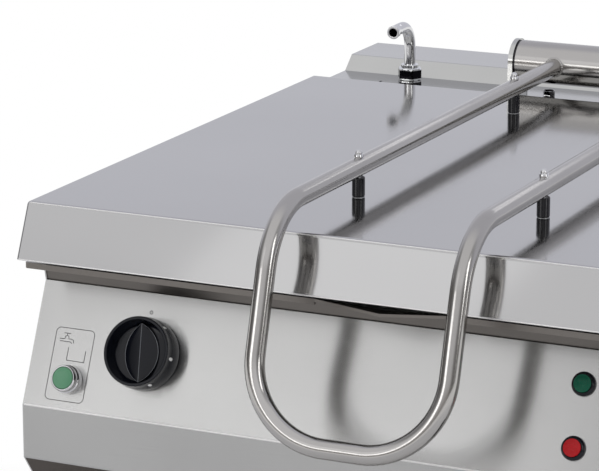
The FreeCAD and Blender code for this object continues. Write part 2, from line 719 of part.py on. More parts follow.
def make_balance_spring():
    """A torsion spring of square wire round the shaft, inside the hinge tube."""
    length = SPRING_TURNS * SPRING_PITCH
    mean = SPRING_D / 2 - SPRING_WIRE / 2
    line = Part.makeHelix(SPRING_PITCH, length, mean)
    half = SPRING_WIRE / 2
    corners = [Vector(mean - half, 0, -half), Vector(mean + half, 0, -half),
               Vector(mean + half, 0, half), Vector(mean - half, 0, half)]
    section = Part.makePolygon(corners + corners[:1])
    spring = Part.Wire(line.Edges).makePipeShell([section], True, True)
    spring.Placement = FreeCAD.Placement(Vector(-length / 2, HINGE_Y, HINGE_Z),
                                         FreeCAD.Rotation(Vector(0, 0, 1), Vector(1, 0, 0)))
    return spring


def rear_section(inset):
    """Outline of the ledge and upstand, moved inwards by the thickness of the sheet."""
    ledge_y = LID_REAR_Y + LEDGE_GAP
    fold_y = UPSTAND_Y + UPSTAND_SLOPE_RUN
    top = LEDGE_Z + UPSTAND_RISE
    half_turn = math.atan2(UPSTAND_RISE, UPSTAND_SLOPE_RUN) / 2
    shift = inset * math.tan(half_turn)
    low = inset if inset > 0 else 0
    return [(ledge_y + inset, LEDGE_Z - LEDGE_LIP - low), (ledge_y + inset, LEDGE_Z - inset),
            (UPSTAND_Y + shift, LEDGE_Z - inset), (fold_y + shift, top - inset),
            (BACK_Y - inset, top - inset), (BACK_Y - inset, LEDGE_Z - LEDGE_LIP - low)]


def make_rear_top():
    """The fixed rear of the top: ledge, sloping step and upstand, with closed ends."""
    radii = [0, BEND_R, 0, BEND_R, BEND_R, 0]
    inner_radii = [0, BEND_R - SHEET, 0, 0, BEND_R - SHEET, 0]
    block = profile_yz(rear_section(0), -HALF, HALF, radii)
    hollow = profile_yz(rear_section(SHEET), SHEET - HALF, HALF - SHEET, inner_radii)
    shell = block.cut(hollow)
    holes = [(TAP_PIPE_D / 2 + 1, -TAP_SIDE, TAP_Y)]
    holes += [(BRACKET_BOLT_D / 2 + HOLE_CLEARANCE, x, y) for x, y in bracket_bolt_places()]
    for radius, x, y in holes:
        shell = shell.cut(rod(radius, Vector(x, y, LEDGE_Z - 5), Vector(x, y, LEDGE_Z + 1)))
    return shell.cut(ledge_slot())


def ledge_slot():
    """The slot through which spilt water leaves the ledge."""
    x0 = LEDGE_SLOT_FROM_SIDE - HALF - LEDGE_SLOT_WIDTH / 2
    y0 = LID_REAR_Y + LEDGE_SLOT_BACK - LEDGE_SLOT_LENGTH / 2
    x1 = x0 + LEDGE_SLOT_WIDTH
    y1 = y0 + LEDGE_SLOT_LENGTH
    return box(x0, x1, y0, y1, LEDGE_Z - 5, LEDGE_Z + 1)


def rim_outline(inset):
    x = HALF - 1 - inset
    return [(-x, RIM_Y + inset), (x, RIM_Y + inset), (x, RIM_REAR_Y - inset), (-x, RIM_REAR_Y - inset)]


def spout_facet(side):
    """One half of the pouring lip: a three-cornered sheet that dips towards the middle."""
    edge = Vector(side * SPOUT_HALF_WIDTH, RIM_Y, RIM_Z)
    tip = Vector(0, RIM_Y - SPOUT_REACH, RIM_Z - SPOUT_DIP)
    root = Vector(0, WELL_Y - PAN_SHEET, RIM_Z)
    face = Part.Face(Part.makePolygon([edge, tip, root, edge]))
    return face.extrude(Vector(0, 0, -PAN_SHEET))


def make_pan():
    """The pan: a deep well with round corners, a wide flat rim with a turned edge, and a V-shaped lip."""
    t = PAN_SHEET
    outer = rounded_box(-WELL_HALF - t, WELL_HALF + t, WELL_Y - t, WELL_REAR_Y + t,
                        PAN_UNDER_Z, RIM_Z, PAN_CORNER_R + t, PAN_FLOOR_R + t)
    rim = profile_xy(rim_outline(0), RIM_Z - PAN_RIM_EDGE, RIM_Z, [4.0] * 4)
    under = profile_xy(rim_outline(t), RIM_Z - PAN_RIM_EDGE - 1, RIM_Z - t, [2.0] * 4)
    half = SPOUT_HALF_WIDTH
    gap = box(-half, half, RIM_Y - 1, RIM_Y + t + 1, RIM_Z - PAN_RIM_EDGE - 1, RIM_Z - t)
    corners = [(-half, RIM_Y), (half, RIM_Y), (0, WELL_Y - t)]
    mouth = profile_xy(corners, RIM_Z - t - 1, RIM_Z + 1)
    rim = rim.cut(under).cut(gap).cut(mouth)
    well = rounded_box(-WELL_HALF, WELL_HALF, WELL_Y, WELL_REAR_Y, WELL_FLOOR_Z, RIM_Z + 1,
                       PAN_CORNER_R, PAN_FLOOR_R)
    pan = rim.fuse([outer, spout_facet(-1), spout_facet(1)]).cut(well)
    return pan.removeSplitter()


def make_base_plate():
    """The thick steel plate under the pan that spreads the heat."""
    x = WELL_HALF - BASE_INSET
    y0 = WELL_Y + BASE_INSET
    y1 = WELL_REAR_Y - BASE_INSET
    return profile_xy([(-x, y0), (x, y0), (x, y1), (-x, y1)], BASE_UNDER_Z, PAN_UNDER_Z, [20.0] * 4)


def element_places():
    """Middle of each hairpin element, spread evenly across the plate."""
    span = 2 * (WELL_HALF - BASE_INSET - ELEMENT_PITCH)
    for i in range(ELEMENT_COUNT):
        yield -span / 2 + span * i / (ELEMENT_COUNT - 1)


def make_heating_elements():
    """Hairpin elements pressed against the plate, with both ends at the rear."""
    z = BASE_UNDER_Z - ELEMENT_D / 2
    y0 = WELL_Y + BASE_INSET + ELEMENT_END_GAP
    y1 = WELL_REAR_Y - BASE_INSET - ELEMENT_END_GAP / 2
    half = ELEMENT_PITCH / 2
    solids = []
    for x in element_places():
        points = [Vector(x - half, y1, z), Vector(x - half, y0, z), Vector(x + half, y0, z),
                  Vector(x + half, y1, z)]
        solids.append(pipe(path(points, [0, half - 0.01, half - 0.01, 0]), ELEMENT_D / 2))
    return group(solids)


def clamp_places():
    for share in (0.3, 0.7):
        yield WELL_Y + (WELL_REAR_Y - WELL_Y) * share


def make_clamp_bars():
    """Flat bars that hold the elements up against the plate."""
    x = WELL_HALF - BASE_INSET - ELEMENT_PITCH / 4
    half = CLAMP_BAR_WIDTH / 2
    return group([box(-x, x, y - half, y + half, CLAMP_Z, CLAMP_Z + CLAMP_BAR) for y in clamp_places()])


def make_insulation():
    """The blanket of mineral wool that fills the cover up to the clamp bars."""
    z = COVER_Z + COVER_SHEET
    return cover_block(COVER_SHEET, z, z + INSULATION)


def cover_block(inset, z0, z1):
    """The heater cover's outline as a solid, moved inwards by inset: the flat of the pan's floor."""
    shift = PAN_FLOOR_R + COVER_MARGIN - PAN_SHEET + inset
    x = WELL_HALF - shift
    y0 = WELL_Y + shift
    y1 = WELL_REAR_Y - shift
    outline = [(-x, y0), (x, y0), (x, y1), (-x, y1)]
    return profile_xy(outline, z0, z1, [COVER_CORNER_R - inset] * 4)


def make_heater_cover():
    """The tray that closes the heater space, hung from the flat of the pan's floor."""
    outer = cover_block(0, COVER_Z, PAN_UNDER_Z)
    return outer.cut(cover_block(COVER_SHEET, COVER_Z + COVER_SHEET, PAN_UNDER_Z + 1))


def bearing_x():
    """Inner and outer face of the right bearing block."""
    return FRAME_X - FRAME_TUBE, FRAME_X - FRAME_TUBE + BEARING_THICK


def trunnion(side):
    """A stub shaft with a flange, welded to the side of the well."""
    wall = WELL_HALF + PAN_SHEET
    start = Vector(side * wall, PIVOT_Y, PIVOT_Z)
    shoulder = Vector(side * (wall + TRUNNION_FLANGE), PIVOT_Y, PIVOT_Z)
    end = Vector(side * bearing_x()[1], PIVOT_Y, PIVOT_Z)
    flange = rod(TRUNNION_FLANGE_D / 2, start, shoulder)
    return flange.fuse(rod(TRUNNION_D / 2, start, end)).removeSplitter()


def trunnion_bush(side):
    inner, outer = bearing_x()
    start = Vector(side * inner, PIVOT_Y, PIVOT_Z)
    end = Vector(side * outer, PIVOT_Y, PIVOT_Z)
    return ring(TRUNNION_D / 2 + BUSH_WALL, TRUNNION_D / 2, start, end)


def rail_top_z():
    return PIVOT_Z - BEARING_HEIGHT / 2


def bearing_outline(half, head, low, axis):
    """Front of a bearing block: a foot, two flanks that lean inwards and a round head."""
    foot = low + BEARING_FOOT
    points = [(-half, low), (half, low), (half, foot), (head, axis), (head, axis + head),
              (-head, axis + head), (-head, axis), (-half, foot)]
    neck = BEARING_NECK_R
    return points, [0, 0, neck, neck, head - 0.01, head - 0.01, neck, neck]


def bearing_block(side):
    """A block with a round head on the side rail, holding the trunnion's bush."""
    inner, outer = bearing_x()
    half = BEARING_WIDTH / 2
    low = rail_top_z()
    head = TRUNNION_D / 2 + BUSH_WALL + BEARING_WALL
    outline, radii = bearing_outline(half, head, low, PIVOT_Z)
    points = [(PIVOT_Y + u, v) for u, v in outline]
    block = profile_yz(points, side * inner, side * outer, radii)
    bore = rod(TRUNNION_D / 2 + BUSH_WALL, Vector(side * (inner - 1), PIVOT_Y, PIVOT_Z),
               Vector(side * (outer + 1), PIVOT_Y, PIVOT_Z))
    return block.cut(bore)


def post_places():
    """Middle of each upright of the frame."""
    front = FRONT_Y + SHEET + FRAME_TUBE * 1.5
    rear = BACK_PANEL_Y - FRAME_TUBE
    x = FRAME_X - FRAME_TUBE / 2
    for side in (-1, 1):
        for y in (front, rear):
            yield side * x, y


def square_tube_z(x, y, z0, z1):
    half = FRAME_TUBE / 2
    core = half - FRAME_WALL
    outer = box(x - half, x + half, y - half, y + half, z0, z1)
    return outer.cut(box(x - core, x + core, y - core, y + core, z0 - 1, z1 + 1))


def frame_posts():
    floor = LEG_HEIGHT + SHEET
    low = rail_top_z() - FRAME_TUBE
    rear_top = LEDGE_Z - LEDGE_LIP
    solids = []
    for x, y in post_places():
        top = low if y < PIVOT_Y else rear_top
        solids.append(square_tube_z(x, y, floor, top))
    return solids


def frame_rails():
    """One rail along each side, from the front upright to the rear one, under the bearing."""
    ys = sorted({y for x, y in post_places()})
    low = rail_top_z() - FRAME_TUBE
    half = FRAME_TUBE / 2
    solids = []
    for side in (-1, 1):
        x = side * (FRAME_X - half)
        start = Vector(x, ys[0] - half, low + half)
        end = Vector(x, ys[1] - half, low + half)
        outer = box(x - half, x + half, start.y, end.y, low, low + FRAME_TUBE)
        core = half - FRAME_WALL
        bottom = low + FRAME_WALL
        top = low + FRAME_TUBE - FRAME_WALL
        inner = box(x - core, x + core, start.y - 1, end.y + 1, bottom, top)
        solids.append(outer.cut(inner))
    return solids


def spindle_y():
    """Front and rear end of the tilting spindle's shaft behind the front cover."""
    return FRONT_Y + SHEET, FRONT_Y + SHEET + SPINDLE_LENGTH


def spindle_bearing_ys():
    """The front beam stands between the front uprights, the rear one near the end of the screw."""
    front_post = min(y for x, y in post_places())
    return front_post, spindle_y()[1] - FRAME_TUBE / 2


def spindle_beams():
    """Two cross beams that carry the spindle's bearings."""
    half = FRAME_TUBE / 2
    z = WHEEL_Z - BEARING_HEIGHT / 2 - half
    x = FRAME_X - FRAME_TUBE
    solids = []
    for y in spindle_bearing_ys():
        outer = box(-x, x, y - half, y + half, z - half, z + half)
        core = half - FRAME_WALL
        solids.append(outer.cut(box(-x - 1, x + 1, y - core, y + core, z - core, z + core)))
    return solids


def make_frame_tubes():
    """The welded frame: four uprights, a rail along each side and two beams across."""
    return group(frame_posts() + frame_rails() + spindle_beams())


def make_spindle_blocks():
    """Bearing blocks of the tilting spindle, one on each cross beam."""
    low = WHEEL_Z - BEARING_HEIGHT / 2
    head = SPINDLE_D / 2 + BEARING_WALL
    points, radii = bearing_outline(BEARING_WIDTH / 2, head, low, WHEEL_Z)
    solids = []
    for y in spindle_bearing_ys():
        corners = [Vector(WHEEL_SIDE + u, y - BEARING_THICK / 2, v) for u, v in points]
        outline = path(corners, radii, closed=True)
        block = Part.Face(outline).extrude(Vector(0, BEARING_THICK, 0))
        bore = rod(SPINDLE_D / 2 + RUNNING_CLEARANCE, Vector(WHEEL_SIDE, y - TOOL_REACH, WHEEL_Z),
                   Vector(WHEEL_SIDE, y + TOOL_REACH, WHEEL_Z))
        solids.append(block.cut(bore))
    return group(solids)


def make_tilt_spindle():
    """The screw that lifts the rear of the pan, with its neck in front for the hand wheel."""
    rear = spindle_y()[1]
    shoulder = FRONT_Y - WHEEL_BACK_GAP
    shaft = rod(SPINDLE_D / 2, Vector(WHEEL_SIDE, shoulder, WHEEL_Z), Vector(WHEEL_SIDE, rear, WHEEL_Z))
    tip = rod(SPINDLE_TIP_D / 2, Vector(WHEEL_SIDE, shoulder - SPINDLE_TIP, WHEEL_Z),
              Vector(WHEEL_SIDE, shoulder, WHEEL_Z))
    return shaft.fuse(tip).removeSplitter()


def nut_y():
    return FRONT_Y + NUT_BACK


def make_tilt_nut():
    """The block that the screw drives, with a pin on each side for the links."""
    y = nut_y()
    half = NUT_BLOCK / 2
    block = box(WHEEL_SIDE - half, WHEEL_SIDE + half, y - half, y + half, WHEEL_Z - half, WHEEL_Z + half)
    end = half + LINK_SHEET + PIN_END
    pins = rod(LINK_PIN_D / 2, Vector(WHEEL_SIDE - end, y, WHEEL_Z), Vector(WHEEL_SIDE + end, y, WHEEL_Z))
    bore = rod(SPINDLE_D / 2 + RUNNING_CLEARANCE, Vector(WHEEL_SIDE, y - TOOL_REACH, WHEEL_Z),
               Vector(WHEEL_SIDE, y + TOOL_REACH, WHEEL_Z))
    return block.fuse(pins).cut(bore).removeSplitter()


def lever_eye():
    """Pin that joins the links to the lever under the pan."""
    return nut_y() + LEVER_REACH, COVER_Z - LEVER_DROP


def make_tilt_links():
    """Two flat links from the nut's pins up to the lever's pin."""
    y1, z1 = nut_y(), WHEEL_Z
    y2, z2 = lever_eye()
    half = NUT_BLOCK / 2
    along = Vector(0, y2 - y1, z2 - z1).normalize()
    across = Vector(0, along.z, -along.y) * LINK_END_R
    solids = []
    for x in (WHEEL_SIDE - half - LINK_SHEET, WHEEL_SIDE + half):
        a = Vector(x, y1, z1) - along * LINK_END_R
        b = Vector(x, y2, z2) + along * LINK_END_R
        corners = [a - across, b - across, b + across, a + across]
        outline = path(corners, [LINK_END_R - 0.1] * 4, closed=True)
        plate = Part.Face(outline).extrude(Vector(LINK_SHEET, 0, 0))
        for y, z in ((y1, z1), (y2, z2)):
            plate = plate.cut(rod(LINK_PIN_D / 2, Vector(x - 1, y, z), Vector(x + LINK_SHEET + 1, y, z)))
        solids.append(plate)
    return group(solids)


def make_tilt_lever():
    """The bracket under the heater cover, with the cross pin that the links push."""
    y, z = lever_eye()
    half = NUT_BLOCK / 2
    inner = half - LINK_SHEET
    t = LINK_SHEET
    reach = LEVER_REACH
    low = z - LINK_PIN_D
    foot_z = COVER_Z - t
    nose = LEVER_NOSE
    points = [(y - reach, COVER_Z), (y - reach, foot_z), (y - nose, low), (y + nose, low),
              (y + reach, foot_z), (y + reach, COVER_Z)]
    radii = [0, 0, LEVER_NOSE_R, LEVER_NOSE_R, 0, 0]
    cheeks = []
    for x in (WHEEL_SIDE - half, WHEEL_SIDE + inner):
        cheeks.append(profile_yz(points, x, x + t, radii))
    foot = box(WHEEL_SIDE - half, WHEEL_SIDE + half, y - reach, y + reach, foot_z, COVER_Z)
    end = half + t + PIN_END
    pin = rod(LINK_PIN_D / 2, Vector(WHEEL_SIDE - end, y, z), Vector(WHEEL_SIDE + end, y, z))
    return cheeks[0].fuse([cheeks[1], foot, pin]).removeSplitter()


def on_spindle(shape):
    """Move a shape from its own frame, where Z points out from the hub's back, to the spindle."""
    place = Vector(WHEEL_SIDE, FRONT_Y - WHEEL_BACK_GAP, WHEEL_Z)
    moved = shape.copy()
    turn = FreeCAD.Rotation(Vector(1, 0, 0), 90)
    moved.Placement = FreeCAD.Placement(place, turn).multiply(shape.Placement)
    return moved


def wheel_seat():
    """Front of the wheel's rim, where the grip's pin starts."""
    return WHEEL_DISH + WHEEL_WEB / 2 + WHEEL_RIM_D / 2


def make_hand_wheel():
    """A hand wheel with a closed web: hub, dished disc, round rim and the pin of its grip."""
    outer = WHEEL_D / 2
    inner = outer - WHEEL_RIM_D
    mid = outer - WHEEL_RIM_D / 2
    hub = WHEEL_HUB_D / 2
    web = WHEEL_WEB
    rise = WHEEL_DISH
    low = wheel_seat() - WHEEL_RIM_D
    high = wheel_seat()
    soft = WHEEL_RIM_D * 0.29
    root = WHEEL_HUB * 0.3
    outline = [(0, 0), (hub, 0), (hub, root), (inner, rise), (inner, low + soft), (inner + soft, low),
               (outer - soft, low), (outer, low + soft), (outer, high - soft), (outer - soft, high),
               (inner + soft, high), (inner, high - soft), (inner, rise + web), (hub, root + web),
               (hub - 3, WHEEL_HUB), (0, WHEEL_HUB)]
    wheel = turned(outline)
    wheel = wheel.cut(Part.makeCylinder(SPINDLE_TIP_D / 2, SPINDLE_TIP))
    foot = wheel_seat()
    pin = Part.makeCylinder(GRIP_PIN_D / 2, GRIP_LENGTH + 1, Vector(0, mid, foot - 1))
    head = Part.makeCylinder(GRIP_PIN_D * 0.8, GRIP_PIN_HEAD, Vector(0, mid, foot + GRIP_LENGTH))
    wheel = wheel.fuse([pin, head]).removeSplitter()
    return on_spindle(wheel)


def make_wheel_grip():
    """The turning grip, waisted like a bottle neck and free on its pin."""
    r = GRIP_D / 2
    high = GRIP_LENGTH - 2 * SEAT_GAP
    bore = GRIP_PIN_D / 2 + RUNNING_CLEARANCE
    outline = [(bore, 0), (r * 0.65, 0), (r * 0.7, high * 0.2), (r * 0.94, high * 0.55), (r, high * 0.75),
               (r * 0.95, high * 0.9), (r * 0.75, high), (bore, high)]
    grip = turned(outline)
    grip.translate(Vector(0, WHEEL_D / 2 - WHEEL_RIM_D / 2, wheel_seat() + SEAT_GAP))
    return on_spindle(grip)


def front_section():
    """Front outline of the cabinet from the control panel's upper edge down to the front cover."""
    return [(PANEL_Y, PANEL_TOP_Z), (NOSE_Y, NOSE_TOP_Z), (NOSE_Y, NOSE_LOW_Z), (FRONT_Y, FRONT_TOP_Z)]


def make_control_panel():
    """One folded sheet: sloping face, nose, undercut and a flange that rests on the front cover."""
    line = front_section() + [(FRONT_Y + BEND_R * 3, FRONT_TOP_Z)]
    panel = folded_sheet(list(reversed(line)), SHEET, SHEET - HALF, HALF - SHEET)
    holes = [(BUTTON_HOLE_D, BUTTON_X, BUTTON_S), (KNOB_SHAFT_D + 4, KNOB_X, KNOB_S)]
    holes += [(LAMP_HOLE_D, LAMP_X, s) for s in LAMP_S]
    for diameter, x, s in holes:
        tool = Part.makeCylinder(diameter / 2, 20, Vector(0, 0, -10))
        panel = panel.cut(on_panel(tool, x, s))
    return panel


def make_front_apron():
    """The rail between the pan's rim and the control panel."""
    top = RIM_Z - PAN_RIM_EDGE - APRON_TOP_GAP
    face = PANEL_Y + SHEET
    line = [(face, PANEL_TOP_Z - COVER_LAP), (face, PANEL_TOP_Z), (face - APRON_LEAN, top),
            (face + COVER_LAP, top)]
    return folded_sheet(line, SHEET, SHEET - HALF, HALF - SHEET)


def make_side_panel(side):
    """The whole side of the cabinet, with the front cut to the outline of the panel."""
    top = RIM_Z - PAN_RIM_EDGE - APRON_TOP_GAP
    rear_top = LEDGE_Z - LEDGE_LIP
    apron_y = PANEL_Y - APRON_LEAN
    line = [(FRONT_Y, LEG_HEIGHT)] + list(reversed(front_section()))
    line += [(apron_y, top), (LID_REAR_Y + LEDGE_GAP, top), (LID_REAR_Y + LEDGE_GAP, rear_top),
             (BACK_Y, rear_top), (BACK_Y, LEG_HEIGHT)]
    return profile_yz(line, side * (HALF - SHEET), side * HALF)


def make_front_cover():
    """The removable cover under the control panel."""
    front = Vector(WHEEL_SIDE, FRONT_Y - 5, WHEEL_Z)
    hole = rod(SPINDLE_D / 2 + 3, front, front + Vector(0, 45, 0))
    low = LEG_HEIGHT + SHEET
    high = FRONT_TOP_Z - SHEET
    line = [(FRONT_Y + COVER_LAP, low), (FRONT_Y, low), (FRONT_Y, high), (FRONT_Y + BEND_R * 3, high)]
    cover = folded_sheet(line, SHEET, SHEET - HALF, HALF - SHEET).cut(hole)
    return cover.cut([screw_hole(place, Vector(0, 1, 0)) for place in cover_screw_places()])


def make_back_panel():
    x = HALF - SHEET
    panel = box(-x, x, BACK_PANEL_Y, BACK_PANEL_Y + SHEET, LEG_HEIGHT + SHEET, LEDGE_Z - LEDGE_LIP)
    neck = INLET_NECK_D / 2 + HOLE_CLEARANCE
    through = Vector(0, 10, 0)
    inlet = Vector(-TAP_SIDE, BACK_PANEL_Y - 5, VALVE_Z)
    gland = Vector(GLAND_SIDE, BACK_PANEL_Y - 5, GLAND_Z)
    panel = panel.cut(rod(neck, inlet, inlet + through))
    panel = panel.cut(rod(GLAND_BORE_D / 2 + GLAND_BODY_WALL, gland, gland + through))
    return panel.cut([screw_hole(place, Vector(0, -1, 0)) for place in back_screw_places()])


def make_floor_tray():
    """The cabinet's floor, with edges turned up along both sides."""
    x = HALF - SHEET
    floor = box(-x, x, FRONT_Y, BACK_Y, LEG_HEIGHT, LEG_HEIGHT + SHEET)
    walls = []
    for side in (-1, 1):
        outer = side * x
        inner = side * (x - SHEET)
        walls.append(box(min(outer, inner), max(outer, inner), FRONT_Y + COVER_LAP * 2, BACK_PANEL_Y - 1,
                         LEG_HEIGHT, LEG_HEIGHT + TRAY_FLANGE))
    return floor.fuse(walls).removeSplitter()


def leg_places():
    for side in (-1, 1):
        x = side * (HALF - LEG_INSET_SIDE)
        for y in (FRONT_Y + LEG_INSET_FRONT, BACK_Y - LEG_INSET_REAR):
            yield x, y


def make_leg_sleeves():
    """Fixed upper parts of the legs, each with a square plate under the cabinet floor."""
    solids = []
    half = LEG_PLATE / 2
    for x, y in leg_places():
        low = LEG_HEIGHT - LEG_SLEEVE
        plate = box(x - half, x + half, y - half, y + half, LEG_HEIGHT - LEG_PLATE_THICK, LEG_HEIGHT)
        sleeve = rod(LEG_SLEEVE_D / 2, Vector(x, y, low), Vector(x, y, LEG_HEIGHT - LEG_PLATE_THICK / 2))
        socket = rod(FOOT_STEM_D / 2, Vector(x, y, low - 1), Vector(x, y, LEG_HEIGHT - LEG_PLATE_THICK * 2))
        solids.append(plate.fuse(sleeve).cut(socket).removeSplitter())
    return group(solids)


def make_feet():
    """Adjustable feet: a screwed stem in the sleeve, a collar and a wide pad."""
    stem = FOOT_STEM_D / 2
    pad = FOOT_PAD_D / 2
    low = LEG_HEIGHT - LEG_SLEEVE
    high = LEG_HEIGHT - LEG_PLATE_THICK * 2 - FOOT_TRAVEL
    neck = stem - FOOT_NECK
    outline = [(0, 0), (pad - 2, 0), (pad, 2), (pad, FOOT_PAD * 0.6), (pad - 3, FOOT_PAD),
               (neck, FOOT_PAD * 1.5), (neck, low - FOOT_COLLAR - FOOT_NECK), (stem, low - FOOT_COLLAR),
               (stem, high), (0, high)]
    solids = []
    for x, y in leg_places():
        foot = turned(outline)
        foot.translate(Vector(x, y, 0))
        solids.append(foot)
    return group(solids)


def cover_screw_places():
    x = HALF - 20
    for side in (-1, 1):
        for z in (LEG_HEIGHT + 30, FRONT_TOP_Z - 30):
            yield Vector(side * x, FRONT_Y, z)


def back_screw_places():
    for x in (-HALF + 16, 0, HALF - 16):
        for z in (LEG_HEIGHT + 40, LEDGE_Z - LEDGE_LIP - 40):
            yield Vector(x, BACK_PANEL_Y + SHEET, z)


def screw_hole(place, inwards):
    return rod(SCREW_D / 2 + HOLE_CLEARANCE, place - inwards, place + inwards * (SHEET + 1))


def pan_head_screw(place, direction):
    """A pan-head screw whose head stands on the sheet and whose shank goes through it."""
    r = SCREW_HEAD_D / 2
    shank = SCREW_D / 2
    outline = [(0, -SCREW_LENGTH), (shank, -SCREW_LENGTH), (shank, 0), (r, 0), (r, SCREW_HEAD * 0.4),
               (r * 0.55, SCREW_HEAD), (0, SCREW_HEAD)]
    screw = turned(outline)
    screw.Placement = FreeCAD.Placement(place, FreeCAD.Rotation(Vector(0, 0, 1), direction))
    return screw


def knob_grip():
    """The lens-shaped grip, whose two facets meet in a ridge."""
    reach = KNOB_GRIP_LENGTH / 2
    half = KNOB_GRIP_WIDTH / 2
    low = KNOB_FLOOR - 1
    arc_r = (reach * reach + half * half) / (2 * half)
    left = Part.makeCylinder(arc_r, KNOB_RIDGE - low, Vector(half - arc_r, 0, low))
    right = Part.makeCylinder(arc_r, KNOB_RIDGE - low, Vector(arc_r - half, 0, low))
    edge = KNOB_GRIP_EDGE
    roof = [Vector(-half, -reach, low), Vector(half, -reach, low), Vector(half, -reach, edge),
            Vector(0, -reach, KNOB_RIDGE), Vector(-half, -reach, edge)]
    ridge = Part.Face(Part.makePolygon(roof + roof[:1])).extrude(Vector(0, 2 * reach, 0))
    grip = left.common(right).common(ridge)
    grip.rotate(Vector(0, 0, 0), Vector(0, 0, 1), KNOB_TURN)
    return grip


def make_knob():
    """The thermostat knob: a drum with a hollow face, and a grip across the hollow."""
    r = KNOB_D / 2
    front = KNOB_FRONT_D / 2
    high = KNOB_HEIGHT
    outline = [(0, SEAT_GAP), (r, SEAT_GAP), (r, KNOB_SKIRT), (front, high), (front - KNOB_RIM, high),
               (KNOB_FLOOR_D / 2, KNOB_FLOOR), (0, KNOB_FLOOR)]
    drum = turned(outline, [0, 0, 0, 1.5, 1.5, 0, 0])
    knob = drum.fuse(knob_grip()).removeSplitter()
    socket = Part.makeCylinder(KNOB_SHAFT_D / 2, KNOB_SOCKET, Vector(0, 0, SEAT_GAP))
    return on_panel(knob.cut(socket), KNOB_X, KNOB_S)


def make_knob_shaft():
    length = KNOB_SHAFT_TAIL + SEAT_GAP + KNOB_SOCKET
    shaft = Part.makeCylinder(KNOB_SHAFT_D / 2, length, Vector(0, 0, -KNOB_SHAFT_TAIL))
    return on_panel(shaft, KNOB_X, KNOB_S)


def make_thermostat():
    """The thermostat's case behind the panel, with a neck that stops short of the knob."""
    side = THERMOSTAT_SIDE
    deep = THERMOSTAT_DEPTH
    low = -SHEET - deep
    case = Part.makeBox(side, side, deep, Vector(-side / 2, -side / 2, low))
    case = case.makeFillet(THERMOSTAT_R, [e for e in case.Edges if abs(e.Length - deep) < 0.01])
    neck = THERMOSTAT_NECK
    wall = KNOB_SHAFT_D / 2 + THERMOSTAT_NECK_WALL
    bushing = Part.makeCylinder(wall, SHEET + neck, Vector(0, 0, -SHEET - neck))
    bottom = -KNOB_SHAFT_TAIL - SEAT_GAP
    socket = Part.makeCylinder(KNOB_SHAFT_D / 2 + RUNNING_CLEARANCE, 1 - bottom, Vector(0, 0, bottom))
    return on_panel(case.fuse(bushing).cut(socket).removeSplitter(), KNOB_X, KNOB_S)


def make_button_bezel():
    """The chromed ring of the push button, clamped in the panel's hole."""
    r = BUTTON_BEZEL_D / 2
    front = BUTTON_FRONT_D / 2
    cap = BUTTON_CAP_D / 2 + SEAT_GAP
    hole = BUTTON_HOLE_D / 2
    bore = hole - BUTTON_WALL
    low = -BUTTON_THREAD
    high = BUTTON_HEIGHT
    outline = [(bore, low), (hole, low), (hole, 0), (r, 0), (r, high * 0.5), (r - 0.5, high * 0.55),
               (front, high - 1), (front - 1, high), (cap, high), (cap, BUTTON_WALL), (bore, BUTTON_WALL)]
    return on_panel(turned(outline), BUTTON_X, BUTTON_S)


def make_button_cap():
    """The green cap: it slides in the bezel and its plunger works the switch."""
    r = BUTTON_CAP_D / 2
    stem = BUTTON_HOLE_D / 2 - BUTTON_WALL - SEAT_GAP
    low = BUTTON_WALL + BUTTON_TRAVEL + SEAT_GAP
    foot = BUTTON_TRAVEL + SEAT_GAP - BUTTON_THREAD
    tip = -BUTTON_THREAD - BUTTON_PLUNGER
    plunger = BUTTON_PLUNGER_D / 2
    top = BUTTON_HEIGHT + SEAT_GAP
    land = r - BUTTON_LAND
    face = top - BUTTON_DISH
    outline = [(0, tip), (plunger, tip), (plunger, foot), (stem, foot), (stem, low), (r, low), (r, top),
               (land, top), (land - BUTTON_DISH, face), (0, face)]
    return on_panel(turned(outline), BUTTON_X, BUTTON_S)


def make_button_switch():
    """The contact block behind the push button."""
    top = -BUTTON_THREAD
    deep = BUTTON_PLUNGER + BUTTON_TRAVEL + SEAT_GAP
    side = SWITCH_BLOCK
    block = Part.makeBox(side, side, side, Vector(-side / 2, -side / 2, top - side))
    well = Part.makeCylinder(BUTTON_PLUNGER_D / 2 + 2, deep, Vector(0, 0, top - deep))
    return on_panel(block.cut(well), BUTTON_X, BUTTON_S)


def make_lamp_bezel():
    """The black rings of the two pilot lamps."""
    r = LAMP_BEZEL_D / 2
    lens = LAMP_LENS_D / 2
    hole = LAMP_HOLE_D / 2
    bore = lens - LAMP_WALL
    low = -LAMP_NECK
    outline = [(bore, low), (hole, low), (hole, 0), (r, 0), (r, LAMP_RIM * 0.45), (lens + 1.2, LAMP_RIM),
               (lens, LAMP_RIM), (lens, 1), (bore, 1)]
    ring_piece = turned(outline)
    return group([on_panel(ring_piece, LAMP_X, s) for s in LAMP_S])


def make_lamp_lens(s):
    """One coloured lens: a low dome on a cylinder, with its lamp body behind."""
    lens = LAMP_LENS_D / 2
    bore = lens - LAMP_WALL
    low = -LAMP_NECK
    rise = LAMP_DOME
    rim = LAMP_RIM
    outline = [(0, low), (bore, low), (bore, 1), (lens, 1), (lens, rim), (lens * 0.9, rim + rise * 0.45),
               (lens * 0.67, rim + rise * 0.78), (0, rim + rise)]
    return on_panel(turned(outline), LAMP_X, s)


def make_lamp_holders():
    low = -LAMP_NECK - LAMP_HOLDER
    holder = Part.makeCylinder(LAMP_HOLE_D / 2 + 1, LAMP_HOLDER, Vector(0, 0, low))
    return group([on_panel(holder, LAMP_X, s) for s in LAMP_S])


